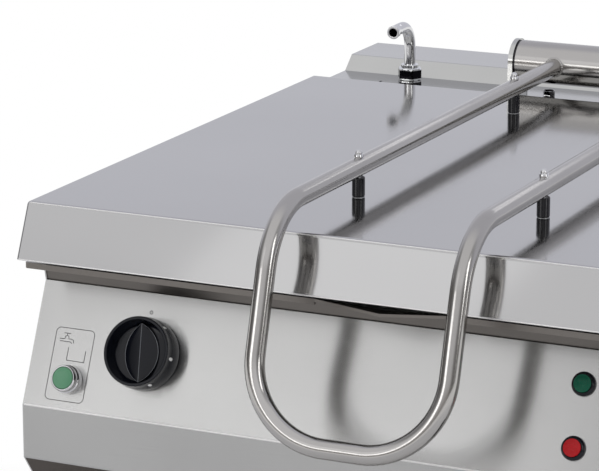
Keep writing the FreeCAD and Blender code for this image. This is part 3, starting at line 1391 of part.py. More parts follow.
def make_tap_nut():
    """The chromed hexagon nut that holds the spout to the ledge, with a round collar on top."""
    place = Vector(-TAP_SIDE, TAP_Y, LEDGE_Z)
    nut = hexagon(TAP_NUT_FLATS, place, TAP_NUT_HEIGHT - TAP_COLLAR)
    top = place + Vector(0, 0, TAP_NUT_HEIGHT)
    nut = nut.fuse(rod(TAP_NUT_FLATS * 0.4, top - Vector(0, 0, TAP_COLLAR), top))
    bore = rod(TAP_PIPE_D / 2 + RUNNING_CLEARANCE, place - Vector(0, 0, 1), top + Vector(0, 0, 1))
    return nut.cut(bore).removeSplitter()


def make_tap_spout():
    """The swivelling spout: a pipe bent over towards the pan, open at its mouth."""
    foot = Vector(-TAP_SIDE, TAP_Y, LEDGE_Z - TAP_TAIL + TAP_TAIL_SEAT)
    top = Vector(-TAP_SIDE, TAP_Y, LEDGE_Z + TAP_HEIGHT)
    knee = top - Vector(0, TAP_REACH, 0)
    nose = Vector(0, -math.sin(TAP_NOSE_LEAN), -math.cos(TAP_NOSE_LEAN))
    mouth = knee + nose * TAP_NOSE
    line = path([foot, top, knee, mouth], [0, TAP_BEND_R, TAP_NOSE_R, 0])
    spout = pipe(line, TAP_PIPE_D / 2, TAP_PIPE_WALL)
    lip = rod(TAP_PIPE_D / 2 + 1, mouth - nose * TAP_LIP, mouth)
    bore = rod(TAP_PIPE_D / 2 - TAP_PIPE_WALL, mouth - nose * (TAP_LIP + 1), mouth + nose)
    return spout.fuse(lip).cut(bore).removeSplitter()


def make_tap_tail():
    """The nut and tail under the ledge in which the spout turns."""
    place = Vector(-TAP_SIDE, TAP_Y, LEDGE_Z - SHEET)
    low = place - Vector(0, 0, TAP_TAIL)
    nut = hexagon(TAP_NUT_FLATS, place - Vector(0, 0, TAP_TAIL_NUT), TAP_TAIL_NUT)
    tail = nut.fuse(rod(TAP_PIPE_D / 2 + TAP_TAIL_WALL, low, place))
    seat = low + Vector(0, 0, TAP_TAIL_SEAT)
    bore = rod(TAP_PIPE_D / 2 + RUNNING_CLEARANCE, seat, place + Vector(0, 0, 1))
    water = rod(TAP_PIPE_D / 2 - TAP_PIPE_WALL, low - Vector(0, 0, 1), place)
    return tail.cut(bore).cut(water).removeSplitter()


def make_supply_pipe():
    """The water pipe from the valve up to the tap."""
    high = Vector(-TAP_SIDE, TAP_Y, LEDGE_Z - SHEET - TAP_TAIL)
    low = Vector(-TAP_SIDE, TAP_Y, VALVE_Z + VALVE_RISE)
    return ring(SUPPLY_PIPE_D / 2, SUPPLY_PIPE_D / 2 - 1, low, high)


def make_water_valve():
    """The solenoid valve: body, coil and the threaded inlet through the back panel."""
    r = VALVE_D / 2
    body = rod(r, Vector(-TAP_SIDE, TAP_Y, VALVE_Z - r), Vector(-TAP_SIDE, TAP_Y, VALVE_Z + VALVE_RISE))
    inlet_start = Vector(-TAP_SIDE, BACK_PANEL_Y + SHEET, VALVE_Z)
    inlet_end = inlet_start + Vector(0, INLET_LENGTH, 0)
    neck = rod(INLET_NECK_D / 2, Vector(-TAP_SIDE, TAP_Y, VALVE_Z), inlet_start)
    inlet = rod(INLET_D / 2, inlet_start, inlet_end).fuse(neck)
    bore = rod(INLET_NECK_D / 2 - 3, Vector(-TAP_SIDE, TAP_Y + r + 1, VALVE_Z), inlet_end + Vector(0, 1, 0))
    half = COIL / 2
    front = TAP_Y + 4 - r - COIL_LENGTH
    coil = box(-TAP_SIDE - half, -TAP_SIDE + half, front, front + COIL_LENGTH, VALVE_Z - half, VALVE_Z + half)
    coil = coil.makeFillet(half / 4, [e for e in coil.Edges if abs(e.Length - COIL_LENGTH) < 0.01])
    return body.fuse([inlet, coil]).cut(bore).removeSplitter()


def make_cable_gland():
    """The gland where the supply cable enters, with a nut on each side of the panel."""
    y = BACK_PANEL_Y
    outer = Vector(GLAND_SIDE, y + SHEET, GLAND_Z)
    back = Vector(0, 1, 0)
    flange = hexagon(GLAND_NUT_FLATS, outer, GLAND_NUT + 1, back)
    inner = hexagon(GLAND_NUT_FLATS, Vector(GLAND_SIDE, y - GLAND_NUT, GLAND_Z), GLAND_NUT, back)
    front = Vector(GLAND_SIDE, y - 2 * GLAND_NUT, GLAND_Z)
    rear = Vector(GLAND_SIDE, y + SHEET + GLAND_REACH, GLAND_Z)
    body = rod(GLAND_BORE_D / 2 + GLAND_BODY_WALL, front, rear)
    bore = rod(GLAND_BORE_D / 2, front - back, rear + back)
    return body.fuse([flange, inner]).cut(bore).removeSplitter()


def make_terminal_block():
    """The mains terminals on the cabinet floor, near the gland."""
    z = LEG_HEIGHT + SHEET
    top = z + TERMINAL_HEIGHT
    y1 = BACK_PANEL_Y - TERMINAL_GAP
    y0 = y1 - TERMINAL_DEPTH
    width = TERMINAL_PITCH * TERMINAL_COUNT
    x = GLAND_SIDE - TERMINAL_FROM_GLAND - width / 2
    block = box(x, x + width, y0, y1, z, top)
    for i in range(TERMINAL_COUNT):
        place = Vector(x + TERMINAL_PITCH * (i + 0.5), (y0 + y1) / 2, top)
        bottom = place - Vector(0, 0, TERMINAL_HEIGHT / 2)
        block = block.cut(rod(TERMINAL_PITCH / 5, bottom, place + Vector(0, 0, 1)))
    return block


def make_contactors():
    """Two contactors on the cabinet floor."""
    z = LEG_HEIGHT + SHEET
    top = z + CONTACTOR_HEIGHT
    y = BACK_PANEL_Y - CONTACTOR_GAP - CONTACTOR_DEPTH / 2
    deep = CONTACTOR_DEPTH / 2
    half = CONTACTOR_WIDTH / 2
    solids = []
    for i in (0, 1):
        x = HALF - CONTACTOR_FROM_SIDE - i * CONTACTOR_PITCH
        base = box(x - half, x + half, y - deep, y + deep, z, top)
        head = box(x - half, x + half, y - half, y + half, top, top + CONTACTOR_HEAD)
        solids.append(base.fuse(head).removeSplitter())
    return group(solids)


def save(name, shape):
    shape.exportStep("parts/" + name + ".step")
    solids = len(shape.Solids)
    state = "valid" if shape.isValid() else "NOT VALID"
    print(name, solids, state, round(shape.Volume / 1000, 1), "cm3")


def main():
    os.makedirs("parts", exist_ok=True)
    core = handle_core()
    sides = (-1, 1)
    save("lid_shell", make_lid_shell())
    save("lid_stiffeners", make_lid_stiffeners())
    save("lid_liner", make_lid_liner())
    save("lid_handle", make_lid_handle())
    save("handle_standoffs", make_standoffs(core))
    save("handle_studs", make_handle_studs())
    save("handle_nuts", make_nuts_and_washers(core))
    save("hinge_tube", make_hinge_tube())
    save("hinge_bushes", group([hinge_bush(side) for side in sides]))
    save("hinge_bracket", make_hinge_bracket())
    save("hinge_shaft", make_hinge_shaft())
    save("hinge_bolts", make_hinge_bolts())
    save("balance_spring", make_balance_spring())
    save("rear_top", make_rear_top())
    save("pan", make_pan())
    save("pan_base_plate", make_base_plate())
    save("heating_elements", make_heating_elements())
    save("element_clamp_bars", make_clamp_bars())
    save("pan_insulation", make_insulation())
    save("heater_cover", make_heater_cover())
    save("trunnions", group([trunnion(side) for side in sides]))
    save("trunnion_bushes", group([trunnion_bush(side) for side in sides]))
    save("trunnion_bearings", group([bearing_block(side) for side in sides]))
    save("tilt_lever", make_tilt_lever())
    save("tilt_links", make_tilt_links())
    save("tilt_nut", make_tilt_nut())
    save("tilt_spindle", make_tilt_spindle())
    save("spindle_bearings", make_spindle_blocks())
    save("hand_wheel", make_hand_wheel())
    save("wheel_grip", make_wheel_grip())
    save("frame_tubes", make_frame_tubes())
    save("floor_tray", make_floor_tray())
    save("side_panel_left", make_side_panel(-1))
    save("side_panel_right", make_side_panel(1))
    save("back_panel", make_back_panel())
    save("front_cover", make_front_cover())
    save("front_apron", make_front_apron())
    save("control_panel", make_control_panel())
    save("leg_sleeves", make_leg_sleeves())
    save("feet", make_feet())
    screws = [pan_head_screw(p, Vector(0, -1, 0)) for p in cover_screw_places()]
    screws += [pan_head_screw(p, Vector(0, 1, 0)) for p in back_screw_places()]
    save("panel_screws", group(screws))
    save("thermostat_knob", make_knob())
    save("thermostat", make_thermostat())
    save("knob_shaft", make_knob_shaft())
    save("button_bezel", make_button_bezel())
    save("button_cap", make_button_cap())
    save("button_switch", make_button_switch())
    save("lamp_bezels", make_lamp_bezel())
    for name, s in zip(LAMP_NAMES, LAMP_S):
        save("lamp_lens_" + name, make_lamp_lens(s))
    save("lamp_holders", make_lamp_holders())
    save("tap_nut", make_tap_nut())
    save("tap_spout", make_tap_spout())
    save("tap_tail", make_tap_tail())
    save("supply_pipe", make_supply_pipe())
    save("water_valve", make_water_valve())
    save("cable_gland", make_cable_gland())
    save("terminal_block", make_terminal_block())
    save("contactors", make_contactors())


main()
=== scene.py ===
# %% [markdown]
# A bratt pan is a wide, shallow cooking pan in a steel cabinet, with a balanced lid and a sloping row of
# controls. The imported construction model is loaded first: it fixes every size, and it already moves at its
# joints. This script adds what the eye expects on top of it: smooth tubes and folds, castings, finishes,
# light and a camera.

# %% Load the construction model
import json
import math
import bpy
import numpy as np
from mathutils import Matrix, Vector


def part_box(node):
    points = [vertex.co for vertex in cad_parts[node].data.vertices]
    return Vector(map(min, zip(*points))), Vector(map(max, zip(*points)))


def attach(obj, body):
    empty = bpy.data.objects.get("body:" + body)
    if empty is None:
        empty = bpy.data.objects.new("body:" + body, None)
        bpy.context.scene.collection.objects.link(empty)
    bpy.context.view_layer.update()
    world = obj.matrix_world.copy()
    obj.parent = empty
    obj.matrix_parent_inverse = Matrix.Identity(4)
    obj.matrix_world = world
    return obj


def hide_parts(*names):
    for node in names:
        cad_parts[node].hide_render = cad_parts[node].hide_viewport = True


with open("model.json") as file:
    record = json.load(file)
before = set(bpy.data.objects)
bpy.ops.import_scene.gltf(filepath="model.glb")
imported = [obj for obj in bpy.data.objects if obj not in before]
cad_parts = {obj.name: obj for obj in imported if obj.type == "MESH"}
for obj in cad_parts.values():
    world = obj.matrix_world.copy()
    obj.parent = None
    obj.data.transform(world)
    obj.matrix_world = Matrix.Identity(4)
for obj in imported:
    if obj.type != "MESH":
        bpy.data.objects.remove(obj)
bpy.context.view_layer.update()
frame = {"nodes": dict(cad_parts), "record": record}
node_slot = {row["node"]: row["material_slot"] for row in frame["record"]["subparts"]}

# %% [markdown]
# A mesh can be worked out as a table of points: one number runs along a row, another from row to row.
# Neighbours in the table become the corners of a four-sided face. Most pieces below are such tables,
# because a formula stays exact when a size changes. These helpers join the tables and hand them to Blender.

# %% Tables of points
def table_faces(rows, columns, wrap_rows=False, wrap_columns=False):
    """Four-sided faces between neighbouring entries of a table; wrapping joins the last row or column to the
    first."""
    number = np.arange(rows * columns).reshape(rows, columns)
    if wrap_rows:
        number = np.vstack([number, number[:1]])
    if wrap_columns:
        number = np.hstack([number, number[:, :1]])
    a, b, c, d = number[:-1, :-1], number[:-1, 1:], number[1:, 1:], number[1:, :-1]
    return np.stack([a, b, c, d], axis=-1).reshape(-1, 4)


def skin(points, closed_ends=False, wrap_rows=False, wrap_columns=True):
    """A table of points as (points, faces); closed_ends puts one flat face over the first and the last
    row."""
    rows, columns = points.shape[:2]
    faces = table_faces(rows, columns, wrap_rows, wrap_columns).tolist()
    if closed_ends:
        faces.append(list(range(columns - 1, -1, -1)))
        faces.append([(rows - 1) * columns + i for i in range(columns)])
    return points.reshape(-1, 3), faces


def joined(*skins):
    """Several skins as one list of points and one list of faces."""
    points, faces, start = [], [], 0
    for some_points, some_faces in skins:
        points.append(some_points)
        faces += [[corner + start for corner in face] for face in some_faces]
        start += len(some_points)
    return np.vstack(points), faces


def volume(points, faces):
    """Six times the volume inside the faces, which is negative where they point inwards."""
    total = 0.0
    for count in {len(face) for face in faces}:
        corners = points[np.array([face for face in faces if len(face) == count])]
        for i in range(1, count - 1):
            total += np.einsum("ij,ij->i", corners[:, 0], np.cross(corners[:, i], corners[:, i + 1])).sum()
    return total


def piece(name, body, finish, shape, replaces=(), smooth_below=38, own=None):
    """A finished object from (points, faces): faces outwards, its finish, its body and what it stands for.
    A piece with a finish of its own gets that finish in place of the slot's finish."""
    points, faces = shape
    if volume(points, faces) < 0:
        faces = [face[::-1] for face in faces]
    mesh = bpy.data.meshes.new(name)
    mesh.from_pydata(points.tolist(), [], faces)
    mesh.validate()
    mesh.shade_smooth()
    mesh.set_sharp_from_angle(angle=math.radians(smooth_below))
    obj = bpy.data.objects.new(name, mesh)
    bpy.context.scene.collection.objects.link(obj)
    mesh.materials.append(finishes[own or finish])
    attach(obj, body)
    if replaces:
        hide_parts(*replaces)
    return obj


print("helpers ready")

# %% [markdown]
# Turned pieces, such as feet, nuts and the knob, are an outline spun about an axis. Pipes and bars are a
# circle carried along a line. Each is again a table of points, so the same helpers finish both.

# %% Turned shapes and carried shapes
def arc(centre, radius, start, end, count=7):
    """Points on a circle in a plane, from one angle in degrees to another."""
    angle = np.radians(np.linspace(start, end, count))
    return np.stack([centre[0] + radius * np.cos(angle), centre[1] + radius * np.sin(angle)], axis=1)


def lifted(line, height):
    """A flat line of (x, y) as points in space, all at one height."""
    return np.column_stack([line, np.full(len(line), height)])


def turned(outline, sides=48):
    """Spin an outline of (radius, height) about the upright axis: x = r cos t, y = r sin t, z = height."""
    outline = np.asarray(outline, float)
    turn = np.linspace(0, 2 * np.pi, sides, endpoint=False)
    radius = outline[:, :1]
    height = np.broadcast_to(outline[:, 1:], (len(outline), sides))
    return np.stack([radius * np.cos(turn), radius * np.sin(turn), height], axis=-1)


def put(points, place, out=(0, 0, 1), right=(1, 0, 0)):
    """Move points from their own axes to a place, with their Z along out and their X as near to right as it
    can be."""
    out = np.array(out, float) / np.linalg.norm(out)
    right = np.array(right, float) - np.dot(right, out) * out
    right /= np.linalg.norm(right)
    ahead = np.cross(out, right)
    return points @ np.array([right, ahead, out]) + np.array(place, float)


def spun(outline, sides, place, out=(0, 0, 1), right=(1, 0, 0), ring=False):
    """Spin an outline and stand it at a place, its axis along out; a ring joins its last point to its first."""
    return skin(put(turned(outline, sides), place, out, right), closed_ends=not ring, wrap_rows=ring)


def bent_line(corners, radii, step=6.0):
    """A line through corner points, each rounded by a tangent arc with a point every few degrees."""
    corners = np.array(corners, float)
    line = [corners[:1]]
    for i in range(1, len(corners) - 1):
        back = corners[i - 1] - corners[i]
        ahead = corners[i + 1] - corners[i]
        back, ahead = back / np.linalg.norm(back), ahead / np.linalg.norm(ahead)
        turn = np.arccos(np.clip(back @ ahead, -1, 1))
        if radii[i] <= 0 or turn > np.pi - 1e-6:
            line.append(corners[i:i + 1])
            continue
        reach = radii[i] / math.tan(turn / 2)
        half = (back + ahead) / np.linalg.norm(back + ahead)
        centre = corners[i] + half * radii[i] / math.sin(turn / 2)
        start = corners[i] + back * reach - centre
        sweep = np.pi - turn
        across = -(back - (back @ start) * start / radii[i] ** 2)
        across *= radii[i] / np.linalg.norm(across)
        angle = np.linspace(0, sweep, max(3, int(math.degrees(sweep) / step) + 2))[:, None]
        line.append(centre + start * np.cos(angle) + across * np.sin(angle))
    line.append(corners[-1:])
    return np.vstack(line)


def carried(line, radius, aside=(1, -1, 0), sides=32):
    """A circle of the given radius (one number or one per point) carried along a line, square to it
    everywhere."""
    ahead = np.gradient(line, axis=0)
    ahead /= np.linalg.norm(ahead, axis=1, keepdims=True)
    aside = np.array(aside, float) - (ahead @ np.array(aside, float))[:, None] * ahead
    aside /= np.linalg.norm(aside, axis=1, keepdims=True)
    other = np.cross(ahead, aside)
    turn = np.linspace(0, 2 * np.pi, sides, endpoint=False)
    radius = np.broadcast_to(np.asarray(radius, float), (len(line),))[:, None, None]
    spoke = aside[:, None, :] * np.cos(turn)[:, None] + other[:, None, :] * np.sin(turn)[:, None]
    return line[:, None, :] + radius * spoke


print("a quarter bend has", len(bent_line([(0, 0, 0), (1, 0, 0), (1, 1, 0)], [0, 0.3, 0])), "points")

# %% [markdown]
# A finish is a small graph of nodes. Stainless steel is a metal whose polish changes over short streaks,
# where the grinding belt ran, and over broad soft patches, where it was wiped. One helper builds the parts
# that every finish shares, so that each finish below is only its own few numbers. All patterns read Object
# coordinates. The panel is brushed so strongly that what it mirrors is drawn out across the grinding marks.

# %% Parts that every finish shares
finishes = {}


def finish_graph(slot):
    """The slot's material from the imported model, or a new one; returns it with its nodes, its links and its
    shader."""
    material = bpy.data.materials.get(slot) or bpy.data.materials.new(slot)
    material.use_nodes = True
    nodes, links = material.node_tree.nodes, material.node_tree.links
    finishes[slot] = material
    return material, nodes, links, nodes["Principled BSDF"]


def noise(nodes, links, stretch, detail=2.0):
    """A noise pattern on Object coordinates; stretch is how many blotches fit in a metre along X, Y and Z."""
    place = nodes.new("ShaderNodeTexCoord")
    mapping = nodes.new("ShaderNodeMapping")
    mapping.inputs["Scale"].default_value = stretch
    pattern = nodes.new("ShaderNodeTexNoise")
    pattern.inputs["Scale"].default_value = 1.0
    pattern.inputs["Detail"].default_value = detail
    links.new(place.outputs["Object"], mapping.inputs["Vector"])
    links.new(mapping.outputs["Vector"], pattern.inputs["Vector"])
    return pattern


def spread(nodes, links, source, low, high, from_low=0.3, from_high=0.7):
    """Stretch a pattern's values to lie from low to high."""
    node = nodes.new("ShaderNodeMapRange")
    for name, value in (("From Min", from_low), ("From Max", from_high), ("To Min", low), ("To Max", high)):
        node.inputs[name].default_value = value
    links.new(source, node.inputs["Value"])
    return node.outputs["Result"]


def two_tones(nodes, links, source, dark, light, from_low=0.3, from_high=0.7):
    """Blend between two colours by a pattern."""
    mix = nodes.new("ShaderNodeMix")
    mix.data_type = "RGBA"
    mix.inputs["A"].default_value = (*dark, 1)
    mix.inputs["B"].default_value = (*light, 1)
    links.new(spread(nodes, links, source, 0.0, 1.0, from_low, from_high), mix.inputs["Factor"])
    return mix.outputs["Result"]


def relief(nodes, links, source, shader, strength, depth=0.0002):
    """Raise and sink the surface by a pattern, as a bump of the given depth in metres."""
    bump = nodes.new("ShaderNodeBump")
    bump.inputs["Strength"].default_value = strength
    bump.inputs["Distance"].default_value = depth
    links.new(source, bump.inputs["Height"])
    links.new(bump.outputs["Normal"], shader.inputs["Normal"])


def metal(slot, dark, light, polish, streak, patch=(5, 5, 5), ground=0.12, depth=0.0001):
    """Metal: broad patches change its tone between dark and light, fine streaks change its polish and its
    relief."""
    material, nodes, links, shader = finish_graph(slot)
    shader.inputs["Metallic"].default_value = 1.0
    broad = noise(nodes, links, patch, detail=3)
    links.new(two_tones(nodes, links, broad.outputs["Fac"], dark, light), shader.inputs["Base Color"])
    fine = noise(nodes, links, streak, detail=2)
    links.new(spread(nodes, links, fine.outputs["Fac"], *polish), shader.inputs["Roughness"])
    relief(nodes, links, fine.outputs["Fac"], shader, ground, depth)
    return material


def brushed_along_x(material, strength):
    """Grinding marks along X spread a reflection across them: the wide direction is the cross product of
    normal and X."""
    nodes, links = material.node_tree.nodes, material.node_tree.links
    surface, across = nodes.new("ShaderNodeNewGeometry"), nodes.new("ShaderNodeVectorMath")
    across.operation = "CROSS_PRODUCT"
    across.inputs[1].default_value = (1, 0, 0)
    links.new(surface.outputs["Normal"], across.inputs[0])
    links.new(across.outputs["Vector"], nodes["Principled BSDF"].inputs["Tangent"])
    nodes["Principled BSDF"].inputs["Anisotropic"].default_value = strength


def shaded(slot, axis, low, high, tone):
    """Paint another tone into a finish between two places along an axis, used here for painted shade and a
    painted dark reflection: 1 where low < place < high, 0 elsewhere."""
    nodes, links = finishes[slot].node_tree.nodes, finishes[slot].node_tree.links
    colour = nodes["Principled BSDF"].inputs["Base Color"]
    place, split, above, below, both, mix = (nodes.new("ShaderNode" + kind) for kind in
                                             ("TexCoord", "SeparateXYZ", "Math", "Math", "Math", "Mix"))
    above.operation, below.operation, both.operation, mix.data_type = "GREATER_THAN", "LESS_THAN", "MULTIPLY", "RGBA"
    above.inputs[1].default_value, below.inputs[1].default_value = low, high
    mix.inputs["B"].default_value = (*tone, 1)
    links.new(place.outputs["Object"], split.inputs["Vector"])
    for step, side in enumerate((above, below)):
        links.new(split.outputs[axis], side.inputs[0])
        links.new(side.outputs["Value"], both.inputs[step])
    links.new(both.outputs["Value"], mix.inputs["Factor"])
    links.new(colour.links[0].from_socket, mix.inputs["A"])
    links.new(mix.outputs["Result"], colour)


def moulded(slot, dark, light, polish, grain=900, bump=0.08, shine=0.5):
    """Moulded plastic: a nearly even tone with faint cloudiness, and a fine skin texture from the mould."""
    material, nodes, links, shader = finish_graph(slot)
    cloud = noise(nodes, links, (22, 22, 22), detail=3)
    links.new(two_tones(nodes, links, cloud.outputs["Fac"], dark, light), shader.inputs["Base Color"])
    mould = noise(nodes, links, (grain, grain, grain), detail=1)
    links.new(spread(nodes, links, mould.outputs["Fac"], *polish), shader.inputs["Roughness"])
    relief(nodes, links, mould.outputs["Fac"], shader, bump, 0.0001)
    shader.inputs["Specular IOR Level"].default_value = shine
    return material


# %% [markdown]
# The cabinet is satin stainless steel, ground along its length; the lid is a finer grade that mirrors
# softly; the tubes are polished round their girth. The streaks are long and thin, so each finish has its
# own stretch.

# %% Metals
metal("satin_steel", (0.50, 0.50, 0.488), (0.55, 0.55, 0.537), (0.12, 0.16), (6, 900, 900), ground=0.06)
metal("lid_steel", (0.480, 0.477, 0.474), (0.510, 0.507, 0.503), (0.09, 0.12), (900, 5, 900),
      patch=(3, 3, 3), ground=0.02)
metal("tube_steel", (0.40, 0.388, 0.375), (0.47, 0.458, 0.445), (0.13, 0.18), (700, 700, 700), ground=0.04)
metal("chrome", (0.60, 0.60, 0.61), (0.68, 0.68, 0.69), (0.03, 0.07), (60, 60, 60), ground=0.02)
metal("zinc_steel", (0.38, 0.39, 0.40), (0.52, 0.53, 0.54), (0.34, 0.48), (120, 120, 120), patch=(60, 60, 60))
metal("pan_steel", (0.40, 0.40, 0.39), (0.50, 0.50, 0.485), (0.30, 0.42), (500, 12, 500),
      patch=(8, 8, 8), ground=0.2)
metal("mild_steel", (0.06, 0.06, 0.063), (0.10, 0.10, 0.104), (0.42, 0.60), (150, 150, 150),
      patch=(30, 30, 30))
metal("element_sheath", (0.10, 0.09, 0.085), (0.17, 0.15, 0.13), (0.35, 0.50), (200, 200, 200),
      patch=(25, 25, 25))
metal("brass", (0.48, 0.31, 0.10), (0.60, 0.42, 0.17), (0.22, 0.34), (400, 400, 400), patch=(40, 40, 40))
metal("copper", (0.52, 0.24, 0.13), (0.62, 0.32, 0.19), (0.20, 0.34), (200, 200, 200), patch=(20, 20, 20))
metal("bronze_bush", (0.34, 0.21, 0.08), (0.42, 0.27, 0.11), (0.32, 0.45), (400, 400, 400),
      patch=(50, 50, 50))
panel_finish = metal("panel_steel", (0.445, 0.444, 0.436), (0.48, 0.479, 0.470), (0.22, 0.26), (6, 900, 900),
                     ground=0.06)
brushed_along_x(panel_finish, 0.9)
# Painted shade: a dark steel for the apron, which stands in the deep shade under the lid.
metal("painted_shade_steel", (0.16, 0.148, 0.135), (0.20, 0.186, 0.17), (0.30, 0.38), (6, 900, 900), ground=0.06)
# Painted highlight: the tap nut's chrome is paler than the other chrome, so that its rims shine brighter.
metal("nut_painted_light_chrome", (0.68, 0.69, 0.70), (0.76, 0.77, 0.78), (0.03, 0.06), (60, 60, 60), ground=0.02)
# Painted highlight: a pale steel for the thin bright lines along the folds.
metal("painted_highlight_steel", (0.75, 0.74, 0.73), (0.81, 0.80, 0.79), (0.30, 0.36), (300, 300, 300), ground=0.03)
# Painted shade: the panel's turned-in foot, below its fold, is painted dark.
shaded("panel_steel", "Z", 0.0, 0.6302, (0.080, 0.068, 0.058))
# Painted reflection: the tap nut's facets are painted near-black, standing in for the dark surroundings they mirror.
shaded("nut_painted_light_chrome", "Z", 0.8902, 0.9005, (0.010, 0.010, 0.012))
# Painted shade: the front face of the pan's rim, under the lid, is painted darker.
shaded("pan_steel", "Y", -1.0, -0.3985, (0.20, 0.185, 0.17))
print("metals:", len(finishes))

# %% [markdown]
# The knob, the wheel and the sleeves round the handle's posts are black plastic. Real black plastic is
# never quite black, and its gloss is a little uneven, which is what lets the eye read its shape.

# %% Plastics and wool
moulded("black_plastic", (0.003, 0.004, 0.007), (0.005, 0.006, 0.010), (0.14, 0.20), bump=0.02, shine=0.28)
# Painted highlight: a paler plastic for the lines where the knob's grip catches the light.
moulded("painted_highlight_plastic", (0.085, 0.092, 0.102), (0.125, 0.133, 0.146), (0.22, 0.30))
moulded("black_sleeve", (0.006, 0.006, 0.009), (0.010, 0.010, 0.014), (0.12, 0.20))
moulded("green_cap", (0.10, 0.29, 0.16), (0.14, 0.36, 0.20), (0.28, 0.40))
moulded("green_lens", (0.001, 0.085, 0.045), (0.002, 0.125, 0.065), (0.10, 0.16), shine=0.22)
moulded("red_lens", (0.36, 0.006, 0.010), (0.48, 0.010, 0.014), (0.10, 0.16), shine=0.22)
moulded("grey_plastic", (0.11, 0.115, 0.12), (0.14, 0.145, 0.15), (0.45, 0.60))
moulded("cream_plastic", (0.50, 0.46, 0.35), (0.58, 0.54, 0.43), (0.45, 0.60))
moulded("mineral_wool", (0.36, 0.31, 0.18), (0.58, 0.52, 0.35), (0.85, 0.98), grain=450, bump=0.9)
print("finishes:", sorted(finishes))

# %% [markdown]
# The imported model's materials carry the names of the slots, so the finishes above were built into them.
# Every construction node that nobody redraws below is therefore already a finished piece. Two sheets need
# more: the apron under the lid and the turned-in foot of the panel stand in deep shade, and that shade is
# painted into their steel as a darker colour.

# %% Make sure that every construction node is finished
# The apron gets the dark steel of painted shade.
own_finish = {"front_apron": "painted_shade_steel", "control_panel": "panel_steel"}
for name, finish in own_finish.items():
    frame["nodes"][name].data.materials[0] = finishes[finish]
plain = [name for name, node in frame["nodes"].items()
         if node.data.materials[0] is not finishes[own_finish.get(name, node_slot[name])]]
print("nodes finished:", len(frame["nodes"]) - len(plain), "left plain:", plain)

# %% [markdown]
# The lid is one pressed sheet: a flat top, a fold all round, skirts, and a hem turned inwards along the
# bottom. It could be a box with bevelled edges, but then every corner would be equally sharp. Here it is a
# rounded rectangle that is drawn once per level: inwards over the fold, down the skirt, in along the hem
# and up inside. Its front leans outwards, so each level also shifts its front side by the slope.

# %% Lid sizes
lid_low, lid_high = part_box("lid_shell")
lid_top = lid_high.z
lean = math.radians(24.2)
lid_front = lid_low.y + (lid_top - lid_low.z) * math.tan(lean)
lid_sheet, fold, hem, skirt_bottom = 0.002, 0.003, 0.012, lid_low.z + 0.003
print("lid top", round(lid_top, 4), "front", round(lid_front, 4))


def sheet_corner(x, y, sign_x, sign_y, radius, count=6):
    """The quarter circle at one corner of a rounded rectangle, turning against the clock."""
    start = {(1, -1): -90, (1, 1): 0, (-1, 1): 90, (-1, -1): 180}[(sign_x, sign_y)]
    return arc((x - sign_x * radius, y - sign_y * radius), radius, start, start + 90, count)


def rounded(x0, x1, y0, y1, radius):
    """A rectangle with rounded corners, drawn against the clock from its lower right corner."""
    return np.vstack([sheet_corner(x1, y0, 1, -1, radius), sheet_corner(x1, y1, 1, 1, radius),
                      sheet_corner(x0, y1, -1, 1, radius), sheet_corner(x0, y0, -1, -1, radius)])


def level(half_width, front, rear, radius, height):
    """One closed line round the lid at one height: four rounded corners joined by straight sides."""
    return lifted(rounded(-half_width, half_width, front, rear, radius), height)


def skirt_front(height):
    """Where the leaning front skirt is at one height."""
    return lid_front - (lid_top - height) * math.tan(lean)


def lid_levels():
    """The section of the sheet, from the top over the fold, down, in and up again, as one level per point."""
    rows = []
    for angle in np.radians(np.linspace(90, 0, 7)):
        inward = fold - fold * math.cos(angle)
        height = lid_top - fold + fold * math.sin(angle)
        rows.append((inward, height))
    rows += [(0.0, skirt_bottom + 0.0008), (0.0006, skirt_bottom), (hem, skirt_bottom),
             (hem, skirt_bottom + lid_sheet), (lid_sheet, skirt_bottom + lid_sheet), (lid_sheet, lid_top - lid_sheet)]
    return rows


def lid_skin():
    """All levels stacked as one table, closed by the top sheet outside and the same sheet inside."""
    rear = lid_high.y
    inset = fold + 0.0015
    table = [level(0.4 - fold - 0.0015, skirt_front(lid_top) + fold + 0.0015, rear - inset, 0.0012, lid_top)]
    for inward, height in lid_levels():
        front = skirt_front(height) + inward / math.cos(lean)
        table.append(level(0.4 - inward, front, rear - inward, max(fold - inward, 0.0008), height))
    return skin(np.array(table), closed_ends=True)


lid_piece = piece("lid_skin", "lid", "lid_steel", lid_skin(), replaces=["lid_shell"], smooth_below=30)
print("lid skin faces", len(lid_piece.data.polygons))

# %% [markdown]
# Where the sheet is folded, the outside of the bend catches the light. That shows as a thin bright line along
# the front edge and the hem of the lid, and along the nose of the panel, and here it is a painted highlight:
# each is a slim rod of pale steel that stands out of the fold by a hair.

# %% Painted highlights along the folds
panel_low, panel_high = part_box("control_panel")


def fold_line(y, z, radius, x0, x1):
    """A slim rod along X."""
    return skin(carried(np.array([(x0, y, z), ((x0 + x1) / 2, y, z), (x1, y, z)]), radius, (0, 0, 1), 16), True)


hem_z, edge_z = skirt_bottom + 0.0008, lid_top - 0.0011
lid_lines = [fold_line(skirt_front(hem_z) + 0.0005, hem_z, 0.0008, -0.397, 0.397),
             fold_line(skirt_front(edge_z) + 0.0010, edge_z, 0.0007, -0.396, 0.396)]
# Painted highlight: pale rods along the lid's front fold and its hem.
piece("hem_line", "lid", "lid_steel", joined(*lid_lines), own="painted_highlight_steel")
# Painted highlight: a pale rod along the nose of the panel.
nose = fold_line(panel_low.y + 0.00103, 0.68814, 0.0013, panel_low.x + 0.0005, panel_high.x - 0.0005)
piece("nose_line", "cabinet", "satin_steel", nose, own="painted_highlight_steel")
print("panel from", round(panel_low.x, 4), "to", round(panel_high.x, 4))

